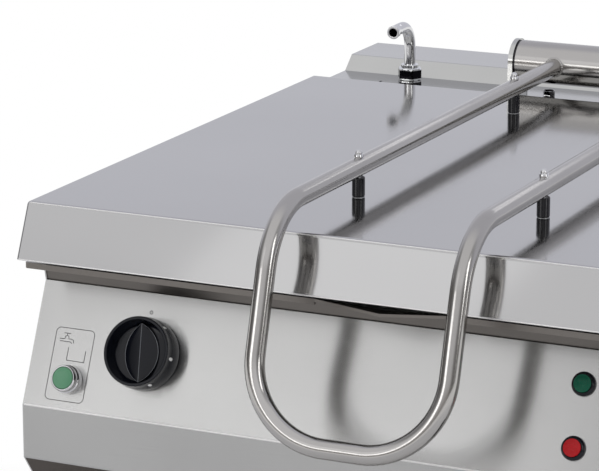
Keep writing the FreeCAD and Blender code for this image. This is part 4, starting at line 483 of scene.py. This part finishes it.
# %% [markdown]
# The handle is one tube, bent four times: back along the lid, round a knee on each side, and across at the
# bottom. A curve with a round bevel would do, but its ends would be flat discs. Here the circle is carried
# along the line, and both ends run into the hinge tube, where a weld bead covers the joint.

# %% Handle
bar_x = 0.1008
knee_y, knee_z = lid_front - 0.0454, lid_top + 0.0328
hinge_y, hinge_z = lid_high.y + 0.058, lid_top + 0.0286
drop, tilt = 0.221, math.radians(16.7)
loop_y, loop_z = knee_y - drop * math.sin(tilt), knee_z - drop * math.cos(tilt)
bar_end = hinge_y - 0.0235
end_z = knee_z + (hinge_z - knee_z) * (bar_end - knee_y) / (hinge_y - knee_y)


def handle_tube():
    """A circle of 10 mm radius carried along the bent line, from one bar's end round the loop to the
    other."""
    corners = [(-bar_x, bar_end, end_z), (-bar_x, knee_y, knee_z), (-bar_x, loop_y, loop_z),
               (bar_x, loop_y, loop_z), (bar_x, knee_y, knee_z), (bar_x, bar_end, end_z)]
    line = bent_line(corners, [0, 0.077, 0.081, 0.081, 0.077, 0], step=4.0)
    return skin(carried(line, 0.01, sides=40), closed_ends=True)


handle = piece("lid_handle_tube", "lid", "tube_steel", handle_tube(), replaces=["lid_handle"])


def weld_bead(side, radius=0.0015):
    """A rippled ring where a bar meets the hinge tube.
    Round the bar, the two cylinders meet where y = hinge - sqrt(25^2 - height^2) in millimetres."""
    turn = np.linspace(0, 2 * np.pi, 120, endpoint=False)
    across, up = 0.0104 * np.cos(turn), 0.0104 * np.sin(turn)
    line = np.column_stack([side * bar_x + across, hinge_y - np.sqrt(0.0252 ** 2 - (end_z + up - hinge_z) ** 2),
                            end_z + up])
    size = radius * (1 + 0.10 * np.sin(24 * turn) + 0.06 * np.sin(7 * turn + side))
    ahead = np.roll(line, -1, axis=0) - np.roll(line, 1, axis=0)
    ahead /= np.linalg.norm(ahead, axis=1, keepdims=True)
    outward = np.column_stack([across, np.zeros_like(across), up])
    outward -= (outward * ahead).sum(axis=1, keepdims=True) * ahead
    outward /= np.linalg.norm(outward, axis=1, keepdims=True)
    other = np.cross(ahead, outward)
    spin = np.linspace(0, 2 * np.pi, 12, endpoint=False)
    spoke = outward[:, None] * np.cos(spin)[:, None] + other[:, None] * np.sin(spin)[:, None]
    return skin(line[:, None] + size[:, None, None] * spoke, wrap_rows=True)


weld_left = piece("weld_bead_left", "lid", "tube_steel", weld_bead(-1))
weld_right = piece("weld_bead_right", "lid", "tube_steel", weld_bead(1))
print("handle faces", len(handle.data.polygons))

# %% [markdown]
# Four black sleeves carry the bars. Each stands on a bright washer, and a small domed nut closes its stud
# on top of the bar. All are turned shapes, repeated at four places.

# %% Sleeves, washers and domed nuts
post_places = [(side * bar_x, lid_front + back) for side in (-1, 1) for back in (0.159, 0.602)]


def bar_height(y):
    """The bar's centre line is straight from the knee to the hinge, so its height is a share between them."""
    return knee_z + (hinge_z - knee_z) * (y - knee_y) / (hinge_y - knee_y)


def at_posts(outline, height_of, sides=40):
    """The same turned shape at all four posts, each at its own height."""
    return joined(*[spun(outline, sides, (x, y, height_of(y))) for x, y in post_places])


sleeve_top = min(bar_height(y) for _, y in post_places) - lid_top - 0.0085
sleeve = [(0.0001, 0.001), (0.0060, 0.001), (0.00675, 0.0016), (0.00675, sleeve_top - 0.0006), (0.0062, sleeve_top),
          (0.0001, sleeve_top)]
piece("handle_sleeves", "lid", "black_sleeve", at_posts(sleeve, lambda y: lid_top), replaces=["handle_standoffs"])
washer = [(0.0001, 0.0), (0.0064, 0.0), (0.0065, 0.0001), (0.0065, 0.0005), (0.0064, 0.0006), (0.0001, 0.001)]
piece("sleeve_washers", "lid", "zinc_steel", at_posts(washer, lambda y: lid_top))
dome = np.vstack([[(0.0001, -0.002), (0.005, -0.002), (0.005, 0.0028), (0.0046, 0.0034), (0.0038, 0.0036)],
                  [(0.0038, 0.0044)], arc((0, 0.0044), 0.0038, 4, 88, 8)])
piece("domed_nuts", "lid", "chrome", at_posts(dome, lambda y: bar_height(y) + 0.01), replaces=["handle_nuts"])
print("posts at", [(round(x, 3), round(y, 3)) for x, y in post_places])

# %% [markdown]
# The hinge is a tube that turns on a fixed shaft between two cheeks, with black bushes between them. The
# cheeks are plates with a round head, welded to a bar that is bolted to the ledge. Their edges are slightly
# broken, because a razor edge would catch no light.

# %% Hinge tube, bushes and shaft ends
along_x = dict(out=(1, 0, 0), right=(0, 0, 1))


def on_hinge(outline, sides=64):
    """Spin an outline of (radius, place along the hinge) about the hinge axis."""
    return spun(outline, sides, (0, hinge_y, hinge_z), **along_x)


half_tube = 0.151
tube = [(0.022, -half_tube), (0.0246, -half_tube), (0.025, -half_tube + 0.0004), (0.025, half_tube - 0.0004),
        (0.0246, half_tube), (0.022, half_tube)]
piece("hinge_barrel", "lid", "tube_steel", on_hinge(tube), replaces=["hinge_tube"])
bush = [[(0.0122, s * half_tube), (0.0249, s * half_tube), (0.0249, s * (half_tube + 0.0016)),
         (0.0245, s * (half_tube + 0.002)), (0.0122, s * (half_tube + 0.002))] for s in (-1, 1)]
piece("bush_flanges", "lid", "black_sleeve", joined(*[on_hinge(b) for b in bush]), replaces=["hinge_bushes"])
print("hinge axis", round(hinge_y, 4), round(hinge_z, 4))

# %% Hinge cheeks, foot and bolts
ledge_z = lid_top - 0.012
foot_top = ledge_z + 0.004


def plate(outline, start, end, place, out, right, edge=0.0004):
    """A flat plate from an outline, with narrow broken edges: the outline is repeated, slightly smaller, at
    each face."""
    outline = np.asarray(outline, float)
    middle = outline.mean(axis=0)
    small = middle + (outline - middle) * (1 - edge / np.linalg.norm(outline - middle, axis=1, keepdims=True))
    rows = [(small, start), (outline, start + edge), (outline, end - edge), (small, end)]
    table = np.array([lifted(line, height) for line, height in rows])
    return skin(put(table, place, out, right), closed_ends=True)


cheek_r = 0.0265
foot_drop = hinge_z - foot_top
cheek = np.vstack([[(-foot_drop, -cheek_r)], arc((0, 0), cheek_r, -90, 90, 33), [(-foot_drop, cheek_r)]])
cheeks = [plate(cheek, s * (half_tube + 0.0023), s * (half_tube + 0.0073), (0, hinge_y, hinge_z), **along_x)
          for s in (-1, 1)]
foot_x = half_tube + 0.0088
foot = rounded(-foot_x, foot_x, -0.031, 0.031, 0.008)
bracket = joined(*cheeks, plate(foot, 0.0, 0.004, (0, hinge_y, ledge_z), (0, 0, 1), (1, 0, 0), edge=0.0006))
piece("hinge_bracket_plates", "cabinet", "satin_steel", bracket, replaces=["hinge_bracket"])


def nut_shape(flats, height, corner_cut=0.35, sides=72):
    """A hexagonal nut: round the axis its radius is (flats / 2) / cos(angle from the nearest flat's middle), cut to a
    cone at both ends, so that only the corners are rounded off."""
    turn = np.linspace(0, 2 * np.pi, sides, endpoint=False)
    hexagon = flats / 2 / np.cos((turn % (np.pi / 3)) - np.pi / 6)
    heights = np.array([0, 0.05, 0.12, 0.5, 0.88, 0.95, 1.0]) * height
    nearest_end = np.minimum(heights, height - heights)
    cone = flats / 2 * 0.97 + nearest_end / corner_cut
    radius = np.minimum(hexagon[None, :], cone[:, None])
    height = np.broadcast_to(heights[:, None], radius.shape)
    return np.stack([radius * np.cos(turn), radius * np.sin(turn), height], axis=-1)


bolts = [skin(put(nut_shape(0.013, 0.0052), (s * 0.112, hinge_y - 0.009, foot_top)), closed_ends=True)
         for s in (-1, 1)]
piece("bracket_bolt_heads", "cabinet", "chrome", joined(*bolts))
print("hinge foot on the ledge at", round(ledge_z, 4))

# %% [markdown]
# The water tap is a chromed pipe bent over twice, held by a hexagon nut with a collar. Its mouth is open,
# so the pipe is made with an inner wall: the outside is carried one way along the line, and the inside
# comes back.

# %% Tap
tap_x, tap_y = -0.3065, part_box("tap_nut")[0].y / 2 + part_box("tap_nut")[1].y / 2
tap_arch, nose_lean = ledge_z + 0.0685, math.radians(84)
tap_line = [(tap_x, tap_y, ledge_z - 0.029), (tap_x, tap_y, tap_arch), (tap_x, tap_y - 0.038, tap_arch),
            (tap_x, tap_y - 0.038 - 0.015 * math.sin(nose_lean), tap_arch - 0.015 * math.cos(nose_lean))]


def open_pipe(corners, radii, outer, inner, lip=0.0):
    """A pipe with a wall: outside rows along the line, then inside rows back, so that the mouth shows its
    edge."""
    line = bent_line(corners, radii, step=5.0)
    away = np.linalg.norm(line - line[-1], axis=1)
    swell = lip / (1 + np.exp((away - 0.0062) / 0.0003))
    outside = carried(line, outer + swell, aside=(1, 0, 0), sides=40)
    inside = carried(line, inner, aside=(1, 0, 0), sides=40)[::-1]
    rim = (outside[-1:] + inside[:1]) / 2 + (line[-1] - line[-2]) / np.linalg.norm(line[-1] - line[-2]) * 0.0004
    return skin(np.concatenate([outside, rim, inside, outside[:1]]))


def finer(corners, near, step):
    """The same corners with one more point just before the end, so that the lip has rows to swell in."""
    last, before = np.array(corners[-1]), np.array(corners[-2])
    back = (before - last) / np.linalg.norm(before - last)
    extra = [tuple(last + back * d) for d in (near, near - step, near - 2 * step)]
    return list(corners[:-1]) + extra + [tuple(last)]


spout_line = finer(tap_line, 0.0068, 0.0005)
piece("tap_pipe", "spout", "chrome", open_pipe(spout_line, [0, 0.027, 0.016, 0, 0, 0, 0], 0.007, 0.0055, lip=0.001),
      replaces=["tap_spout"])
tap_collar = [(0.0072, 0.0145), (0.0102, 0.0145), (0.0108, 0.0151), (0.0108, 0.0184), (0.0102, 0.019),
              (0.0074, 0.019)]
nut = joined(skin(put(nut_shape(0.027, 0.015, corner_cut=0.5), (tap_x, tap_y, ledge_z)), closed_ends=True),
             spun(tap_collar, 48, (tap_x, tap_y, ledge_z)))
# The nut's finish carries a painted highlight on its rims and a painted dark reflection on its facets.
piece("tap_hexagon", "cabinet", "chrome", nut, replaces=["tap_nut"], own="nut_painted_light_chrome")
print("tap at", round(tap_x, 4), round(tap_y, 4))

# %% [markdown]
# The thermostat knob is moulded: a drum with a hollow face, and a pointed grip across the hollow that rises
# to a ridge. The drum is an outline spun round. The grip is a table: each row crosses it once, up one wall,
# over the two facets and down the other wall, and its width follows a circle's arc, so that it ends in a
# point on both sides. The grip's edges and its ridge catch the light as pale lines; those are a painted
# highlight, three thin lines of their own in a paler plastic.

# %% Knob
panel_out = (0, -math.cos(lean), math.sin(lean))
panel_edge_y, panel_edge_z = lid_front + 0.0351, lid_top - 0.0917


def on_face(x, s, lift=0.0):
    """A place on the sloping face: x across, s down from its upper edge, lift in front of it."""
    return (x, panel_edge_y - s * math.sin(lean) + lift * panel_out[1],
            panel_edge_z - s * math.cos(lean) + lift * panel_out[2])


knob_x, knob_s, knob_turn = -0.2698, 0.0636, math.radians(7)
half_grip, grip_reach = 0.0188, 0.0302
grip_low, grip_edge, grip_ridge = 0.0085, 0.0105, 0.0148


def grip_half(y):
    """Half the grip's width at y: an arc, sqrt(bow^2 - y^2) - (bow - half of the greatest width)."""
    bow = (grip_reach ** 2 + half_grip ** 2) / (2 * half_grip)
    return np.sqrt(bow ** 2 - y ** 2) - (bow - half_grip)


def grip_turned(x, y, z):
    """Turn the grip's table by the angle at which the knob stands."""
    return np.stack([x * math.cos(knob_turn) - y * math.sin(knob_turn),
                     x * math.sin(knob_turn) + y * math.cos(knob_turn), z], axis=-1)


def grip_rows(count=49):
    """Rows from one point of the grip to the other, each up one wall, over the roof and down the other
    wall."""
    y = grip_reach * np.sin(np.linspace(-np.pi / 2, np.pi / 2, count))
    half = np.maximum(grip_half(y), 0.00012)[:, None]
    share = np.array([1.0, 1.0, 0.985, 0.955, 0.5, 0.03, 0.0])
    roof = grip_ridge - (grip_ridge - grip_edge) * share[None, :] * half / half_grip
    drop = np.array([0.0, 0.00045, 0.00012, 0.0, 0.0, 0.00003, 0.00010])
    right_x, right_z = half * share, roof - drop
    right_z[:, 0] = grip_low
    x = np.hstack([-right_x, right_x[:, -2::-1]])
    z = np.hstack([right_z, right_z[:, -2::-1]])
    return grip_turned(x, np.broadcast_to(y[:, None], x.shape), z)


knob_place = on_face(knob_x, knob_s)
drum = np.vstack([[(0.0001, 0.0005), (0.0368, 0.0005)], arc((0.0368, 0.0012), 0.0007, -90, 0, 4), [(0.0375, 0.0120)],
                  [(0.03685, 0.0170), (0.03597, 0.0242)], arc((0.0346, 0.0241), 0.0014, 6, 90, 7),
                  arc((0.0336, 0.0245), 0.0010, 90, 190, 6), [(0.0300, 0.0115)],
                  arc((0.0278, 0.0112), 0.0022, 0, -88, 6), [(0.0150, 0.0090), (0.0001, 0.0090)]])
knob = joined(spun(drum, 112, knob_place, panel_out),
              skin(put(grip_rows(), knob_place, panel_out), wrap_columns=True, closed_ends=True))
piece("knob_body", "knob", "black_plastic", knob, replaces=["thermostat_knob"], smooth_below=40)
print("knob face", len(drum), "points in its outline")


def grip_line(side, count=49, half_width=0.00034, lift=0.00012):
    """A thin raised line over the grip's rows: side -1 and 1 are its two edges, 0 is the ridge between
    them."""
    y = grip_reach * np.sin(np.linspace(-np.pi / 2, np.pi / 2, count) * 0.94)
    half = grip_half(y)[:, None]
    roof = grip_ridge - (grip_ridge - grip_edge) * abs(side) * half / half_grip
    x = side * (half - 0.0004) + half_width * np.array([[-1.0, -1.0, 1.0, 1.0]])
    z = roof + lift * np.array([[-4.0, 1.0, 1.0, -4.0]])
    return grip_turned(x, np.broadcast_to(y[:, None], x.shape), z)


lines = [skin(put(grip_line(side), knob_place, panel_out), closed_ends=True) for side in (-1, 0, 1)]
# Painted highlight: the grip's two edges and its ridge as pale lines.
piece("grip_lines", "knob", "black_plastic", joined(*lines), own="painted_highlight_plastic")

# %% [markdown]
# The marks on the knob and the outline round the button are printed: paint with next to no thickness. A
# picture on the surface would need an image, so they are thin ribbons that lie on it, in their own two
# paints.

# %% Printed marks
moulded("white_print", (0.72, 0.72, 0.70), (0.80, 0.80, 0.78), (0.45, 0.55))
moulded("grey_print", (0.045, 0.045, 0.045), (0.075, 0.075, 0.073), (0.45, 0.60))


def ribbon(line, width, thickness, place, closed=False):
    """A flat band along a line drawn on the panel: each point is moved half a width to either side, and
    lifted."""
    line = np.asarray(line, float)
    ahead = np.roll(line, -1, axis=0) - np.roll(line, 1, axis=0) if closed else np.gradient(line, axis=0)
    ahead /= np.linalg.norm(ahead, axis=1, keepdims=True)
    side = np.column_stack([-ahead[:, 1], ahead[:, 0]]) * width / 2
    left, right = line + side, line - side
    ring = [(left, 0), (left, thickness), (right, thickness), (right, 0)]
    table = np.stack([lifted(line, height) for line, height in ring], axis=1)
    return skin(put(table, place, panel_out), closed_ends=not closed, wrap_rows=closed)


def rim_mark(angle):
    """A small white bar on the knob's side, near its rim: a flat round spot, stretched along the rim."""
    turn = math.radians(angle)
    spoke = np.array([math.cos(turn), math.sin(turn), 0.0])
    around = np.array([-math.sin(turn), math.cos(turn), 0.0])
    spot = turned([(0.0016, -0.0006), (0.0016, 0.00012), (0.0014, 0.00020), (0.0001, 0.00020)], 20)
    local = put(spot * np.array([1.1, 2.0, 1.0]), spoke * 0.03675 + np.array([0, 0, 0.0172]),
                spoke + np.array([0, 0, 0.125]), around)
    return skin(put(local, knob_place, panel_out), closed_ends=True)


marks = joined(*[rim_mark(a) for a in (50, -4, -59)])
piece("knob_marks", "knob", "black_plastic", marks, own="white_print")
index_ring = ribbon(arc((0, 0), 0.0016, 0, 345, 24), 0.0007, 0.00012, on_face(-0.2725, 0.0199), closed=True)
piece("index_ring", "cabinet", "satin_steel", index_ring, own="grey_print")

# The outline round the button is 45 by 76 mm.
button_frame = rounded(-0.0250, 0.0194, -0.0223, 0.0532, 0.005)
button_x, button_s = -0.3512, 0.1001
button_place = on_face(button_x, button_s)
vessel = [(-0.0079, 0.0334), (-0.0078, 0.0199), (0.0124, 0.0197), (0.0125, 0.0317)]
bonnet = arc((-0.0117, 0.0432), 0.0021, 180, 0, 9)
tap_sign = [[(-0.0197, 0.0414), (-0.0138, 0.0416), (-0.0138, 0.0432)], bonnet,
            [(-0.0096, 0.0432), (-0.0096, 0.0420), (-0.0066, 0.0420), (-0.0042, 0.0412), (-0.0029, 0.0380)],
            [(-0.0193, 0.0390), (-0.0079, 0.0390), (-0.0062, 0.0386), (-0.0054, 0.0372)],
            [(-0.0117, 0.0453), (-0.0117, 0.0476)], [(-0.0157, 0.0477), (-0.0080, 0.0477)]]
signs = [ribbon(button_frame, 0.0007, 0.0001, button_place, closed=True)]
signs += [ribbon(vessel[i:i + 2], 0.0007, 0.0001, button_place) for i in range(3)]
signs += [ribbon(line, 0.0007, 0.0001, button_place) for line in tap_sign]
piece("button_sign", "cabinet", "satin_steel", joined(*signs), own="grey_print")
print("signs:", len(signs) + 1)

# %% [markdown]
# The push button is a green cap in a deep chromed ring. The ring has a broad foot, a shallow groove and a
# rounded lip; the cap sits level with the lip and is slightly hollow. The two pilot lamps are alike: a
# black ring and a coloured lens, whose inside is cut into small pyramids, so that it glitters.

# %% Button and lamps
ring_outline = np.vstack([[(0.01155, 0.0018), (0.01155, 0.0150)], arc((0.01235, 0.0150), 0.0008, 180, 60, 7),
                          [(0.0133, 0.0148), (0.0137, 0.0140), (0.01415, 0.0094), (0.0138, 0.0088)],
                          arc((0.0140, 0.0074), 0.00073, 60, 0, 4),
                          [(0.01475, 0.0008), (0.0144, 0.0001), (0.0111, 0.0001), (0.0111, 0.0018)]])
piece("button_ring", "cabinet", "chrome", spun(ring_outline, 72, button_place, panel_out, ring=True),
      replaces=["button_bezel"])
cap_outline = np.vstack([[(0.0001, 0.0154), (0.0072, 0.0155), (0.0088, 0.0159)],
                         arc((0.0103, 0.0154), 0.0009, 100, 0, 6),
                         [(0.01125, 0.0064), (0.01125, 0.0062), (0.0090, 0.0062), (0.0090, -0.0056), (0.003, -0.0056),
                          (0.003, -0.0119), (0.0001, -0.0119)]])
piece("button_face", "water_button", "green_cap", spun(cap_outline, 64, button_place, panel_out),
      replaces=["button_cap"])
lamp_x, lamp_s = 0.1965, {"green": 0.034, "red": 0.0964}
lamp_ring = np.vstack([[(0.0081, 0.0012), (0.0090, 0.0038)], arc((0.0095, 0.0044), 0.0005, 180, 60, 5),
                       [(0.0108, 0.0038)], arc((0.0112, 0.0020), 0.0008, 60, 0, 5),
                       [(0.0120, 0.0001), (0.0078, 0.0001)]])
rings = [spun(lamp_ring, 64, on_face(lamp_x, s), panel_out, ring=True) for s in lamp_s.values()]
piece("lamp_rings", "cabinet", "black_plastic", joined(*rings), replaces=["lamp_bezels"])


def lens_points(rings=26, sides=72, radius=0.0088):
    """A low dome, 8.2 mm high in the middle and 6 mm at its edge, with pyramids 0.35 mm deep on a 2 mm square
    grid."""
    r = radius * np.sin(np.linspace(0.004, np.pi / 2, rings))[:, None]
    turn = np.linspace(0, 2 * np.pi, sides, endpoint=False)[None, :]
    x, y = r * np.cos(turn), r * np.sin(turn)
    dome = 0.0082 - 0.0022 * (r / radius) ** 2
    facet = np.maximum(np.abs((x / 0.002) % 1 - 0.5), np.abs((y / 0.002) % 1 - 0.5))
    height = dome - 0.0007 * facet * np.clip((radius - r) / 0.001, 0, 1)
    table = np.stack([x, y, np.broadcast_to(height, x.shape)], axis=-1)
    shoulder = np.stack([x[-1], y[-1], np.full(sides, 0.0042)], axis=-1)[None]
    wall = shoulder * [0.0079 / radius, 0.0079 / radius, 0.001 / 0.0042]
    return np.concatenate([table, shoulder, wall])


for colour, s in lamp_s.items():
    piece("lens_" + colour, "cabinet", colour + "_lens", skin(put(lens_points(), on_face(lamp_x, s), panel_out),
                                                             closed_ends=True), replaces=["lamp_lens_" + colour],
          smooth_below=12)
print("lamps at", [tuple(round(v, 3) for v in on_face(lamp_x, s)) for s in lamp_s.values()])

# %% [markdown]
# The hand wheel under the panel turns the tilting screw. It is one moulding: a hub, a dished web and a
# thick round rim, with a free-turning grip. All three are outlines spun about an axis that points to the
# front.

# %% Hand wheel and grip
wheel_low, wheel_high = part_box("hand_wheel")
wheel_x, wheel_z = (wheel_low.x + wheel_high.x) / 2, (wheel_low.z + wheel_high.z) / 2
to_front = dict(out=(0, -1, 0), right=(1, 0, 0))
hub_back = wheel_high.y
rim_middle = 0.015
wheel_outline = np.vstack([[(0.0001, 0.0), (0.0180, 0.0), (0.019, 0.001), (0.019, 0.0065), (0.0205, 0.0085)],
                           [(0.0585, 0.0120)], arc((0.070, rim_middle), 0.0098, 195, 525, 34)[1:-1],
                           [(0.0585, 0.0180), (0.0230, 0.0146), (0.0190, 0.0165), (0.0165, 0.0245)],
                           arc((0.0150, 0.0245), 0.0015, 0, 90, 4), [(0.0001, 0.026)]])
wheel_place = (wheel_x, hub_back, wheel_z)
wheel = spun(wheel_outline, 96, wheel_place, **to_front)
pin = [(0.0001, 0.020), (0.004, 0.020), (0.004, 0.0602), (0.0064, 0.0602), (0.0064, 0.0625), (0.0056, 0.0630),
       (0.0001, 0.0630)]
pin_place = (wheel_x, hub_back, wheel_z + 0.070)
piece("wheel_moulding", "tilt_wheel", "black_plastic",
      joined(wheel, spun(pin, 40, pin_place, **to_front)), replaces=["hand_wheel"])
grip_outline = np.vstack([[(0.0043, 0.0252), (0.0068, 0.0252), (0.0073, 0.0258)],
                          np.column_stack([0.0073 + 0.0037 * np.sin(np.linspace(0, 1, 14) ** 1.3 * np.pi / 2),
                                           np.linspace(0.0262, 0.0520, 14)]),
                          arc((0.0060, 0.0545), 0.0050, 0, 75, 7), [(0.0043, 0.0598)]])
piece("grip_moulding", "wheel_handle", "black_plastic",
      spun(grip_outline, 56, pin_place, **to_front, ring=True), replaces=["wheel_grip"])
print("wheel axis", round(wheel_x, 4), round(wheel_z, 4))

# %% [markdown]
# Each leg is a steel sleeve with an adjustable foot inside: a polished stem, a collar with flats for a
# spanner, and a wide pad. They stand in the shade, but anyone who walks round the machine sees them.

# %% Feet
foot_low, foot_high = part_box("feet")
inset_x = foot_high.x - 0.028
foot_places = [(side * inset_x, y) for side in (-1, 1) for y in (foot_low.y + 0.028, foot_high.y - 0.028)]
foot_outline = np.vstack([[(0.0001, 0.0)], arc((0.0262, 0.0018), 0.0018, -90, 0, 5), [(0.028, 0.0068)],
                          arc((0.0262, 0.0074), 0.0018, 0, 70, 5), arc((0.020, 0.0220), 0.0040, 235, 185, 6),
                          [(0.0160, 0.0390), (0.0198, 0.0430), (0.0200, 0.0440), (0.0200, 0.122), (0.0001, 0.122)]])
feet = [spun(foot_outline, 56, (x, y, 0.0)) for x, y in foot_places]
piece("feet_turned", "cabinet", "satin_steel", joined(*feet), replaces=["feet"])
sleeve_outline = [(0.0203, 0.0552), (0.0247, 0.0552), (0.0250, 0.0556), (0.0250, 0.1462), (0.0203, 0.1462)]
tubes = [spun(sleeve_outline, 56, (x, y, 0.0), ring=True) for x, y in foot_places]
square = np.array([(-0.045, -0.045), (0.045, -0.045), (0.045, 0.045), (-0.045, 0.045)])
plates = [plate(square, 0.0, 0.004, (x, y, 0.146), (0, 0, 1), (1, 0, 0)) for x, y in foot_places]
piece("leg_tubes", "cabinet", "satin_steel", joined(*tubes, *plates), replaces=["leg_sleeves"])
print("feet at", [(round(x, 3), round(y, 3)) for x, y in foot_places])

# %% [markdown]
# The machine stands on a pale matt floor, which keeps its shadow. Further away the floor turns white, like
# the paper sweep of a studio: white to the camera, and also to reflections, so that the metal shows the
# same background. Behind the machine hangs a pale, faintly blue backdrop. In front is a soft grey room,
# bright overhead and dark near the horizon and at the sides: that is what gives polished tubes their dark
# lines.

# %% Floor, world and lamps
scene = bpy.context.scene


def number(nodes, links, operation, first, second):
    """Join two numbers in a graph, each taken from a socket."""
    node = nodes.new("ShaderNodeMath")
    node.operation = operation
    for socket, value in zip(node.inputs, (first, second)):
        links.new(value, socket)
    return node.outputs["Value"]


def floor_finish():
    """Matt and slightly uneven near the machine; beyond that white to the camera, to glossy and to passing
    rays."""
    material, nodes, links, shader = finish_graph("floor")
    tone = noise(nodes, links, (2, 2, 2), detail=4)
    links.new(two_tones(nodes, links, tone.outputs["Fac"], (0.86, 0.86, 0.86), (0.90, 0.90, 0.895)),
              shader.inputs["Base Color"])
    shader.inputs["Roughness"].default_value = 0.9
    place, distance, white_light, mix = (nodes.new("ShaderNode" + kind)
                                         for kind in ("TexCoord", "VectorMath", "Emission", "MixShader"))
    distance.operation = "DISTANCE"
    distance.inputs[1].default_value = (0, -1.4, 0)
    links.new(place.outputs["Object"], distance.inputs[0])
    far = spread(nodes, links, distance.outputs["Value"], 0.0, 1.0, 1.9, 2.9)
    rays = nodes.new("ShaderNodeLightPath").outputs
    seen = number(nodes, links, "MAXIMUM", rays["Is Camera Ray"], rays["Is Glossy Ray"])
    seen = number(nodes, links, "MAXIMUM", seen, rays["Is Transmission Ray"])
    links.new(number(nodes, links, "MULTIPLY", seen, far), mix.inputs["Fac"])
    links.new(shader.outputs["BSDF"], mix.inputs[1])
    links.new(white_light.outputs["Emission"], mix.inputs[2])
    links.new(mix.outputs["Shader"], nodes["Material Output"].inputs["Surface"])
    return material


floor_mesh = bpy.data.meshes.new("floor")
floor_mesh.from_pydata([(-30, -30, 0), (30, -30, 0), (30, 60, 0), (-30, 60, 0)], [], [(0, 1, 2, 3)])
floor_mesh.materials.append(floor_finish())
floor = bpy.data.objects.new("floor", floor_mesh)
scene.collection.objects.link(floor)


def grey_ramp(nodes, links, source, steps, warm=0.0):
    """Greys over one part of the direction, which runs from -1 to 1; the low end may be slightly warm."""
    scale, ramp = nodes.new("ShaderNodeMapRange"), nodes.new("ShaderNodeValToRGB")
    scale.inputs["From Min"].default_value = -1.0
    while len(ramp.color_ramp.elements) < len(steps):
        ramp.color_ramp.elements.new(0.5)
    for element, (position, value) in zip(ramp.color_ramp.elements, steps):
        tint = max(0.0, 0.62 - position) * warm
        element.position = position
        element.color = (value * (1 + tint), value, value * (1.01 - tint), 1)
    links.new(source, scale.inputs["Value"])
    links.new(scale.outputs["Result"], ramp.inputs["Fac"])
    return ramp.outputs["Color"]


def room_light():
    """The world: a grey room in front, by height and by side, which turns into a pale backdrop behind."""
    world = bpy.data.worlds.new("room")
    world.use_nodes = True
    nodes, links = world.node_tree.nodes, world.node_tree.links
    place, split, front, room = (nodes.new("ShaderNode" + kind)
                                 for kind in ("TexCoord", "SeparateXYZ", "Mix", "Mix"))
    links.new(place.outputs["Generated"], split.inputs["Vector"])
    height = [(0.0, 0.25), (0.50, 0.26), (0.55, 0.46), (0.61, 0.70), (0.68, 0.88), (0.74, 0.95), (1.0, 0.93)]
    side = [(0.0, 0.35), (0.10, 0.40), (0.17, 1.0), (0.76, 1.0), (0.86, 0.50), (1.0, 0.40)]
    front.data_type = room.data_type = "RGBA"
    front.blend_type = "MULTIPLY"
    front.inputs["Factor"].default_value = 1.0
    links.new(grey_ramp(nodes, links, split.outputs["Z"], height, warm=0.6), front.inputs["A"])
    links.new(grey_ramp(nodes, links, split.outputs["X"], side), front.inputs["B"])
    links.new(front.outputs["Result"], room.inputs["A"])
    room.inputs["B"].default_value = (0.705, 0.710, 0.770, 1)
    links.new(spread(nodes, links, split.outputs["Y"], 0.0, 1.0, -0.05, 0.35), room.inputs["Factor"])
    links.new(room.outputs["Result"], nodes["Background"].inputs["Color"])
    nodes["Background"].inputs["Strength"].default_value = 1.0
    return world


def soft_lamp(name, place, aim, width, height, power):
    """A rectangular lamp at a place, turned so that it faces the point aim."""
    light = bpy.data.lights.new(name, "AREA")
    light.shape = "RECTANGLE"
    light.size, light.size_y, light.energy = width, height, power
    obj = bpy.data.objects.new(name, light)
    scene.collection.objects.link(obj)
    away = np.array(place, float) - np.array(aim, float)
    obj.location = place
    obj.rotation_euler = (math.atan2(math.hypot(away[0], away[1]), away[2]), 0, math.atan2(away[0], -away[1]))
    return obj


scene.world = room_light()
soft_lamp("lamp_front", (-1.64, -3.43, 2.76), (0, -0.3, 0.75), 1.1, 1.5, 1.25)
soft_lamp("lamp_low", (-1.43, -3.2, 1.57), (0, -0.35, 0.75), 1.2, 0.4, 3.4)
soft_lamp("lamp_right", (2.8, -1.2, 2.0), (0, 0, 0.8), 0.7, 1.8, 11)
soft_lamp("lamp_rear", (0.3, 4.4, 3.2), (0, 0.2, 0.9), 2.2, 0.22, 1.5)

# %% [markdown]
# The camera stands to the right of the machine and looks down along the slope of its panel. Its place and
# its lens come from the vanishing points of the photograph's long edges; nothing is shifted, so other views
# stay true.

# %% Camera
camera_data = bpy.data.cameras.new("camera")
camera_data.lens, camera_data.sensor_width = 183.49, 36.0
camera_data.clip_end = 200
camera = bpy.data.objects.new("camera", camera_data)
camera.location = (1.1229, -3.0144, 1.6538)
camera.rotation_euler = (math.radians(90 - 14.66), 0, math.radians(24.88))
scene.collection.objects.link(camera)
scene.camera = camera
scene.view_settings.view_transform = "Standard"
print("camera at", tuple(round(v, 3) for v in camera.location))
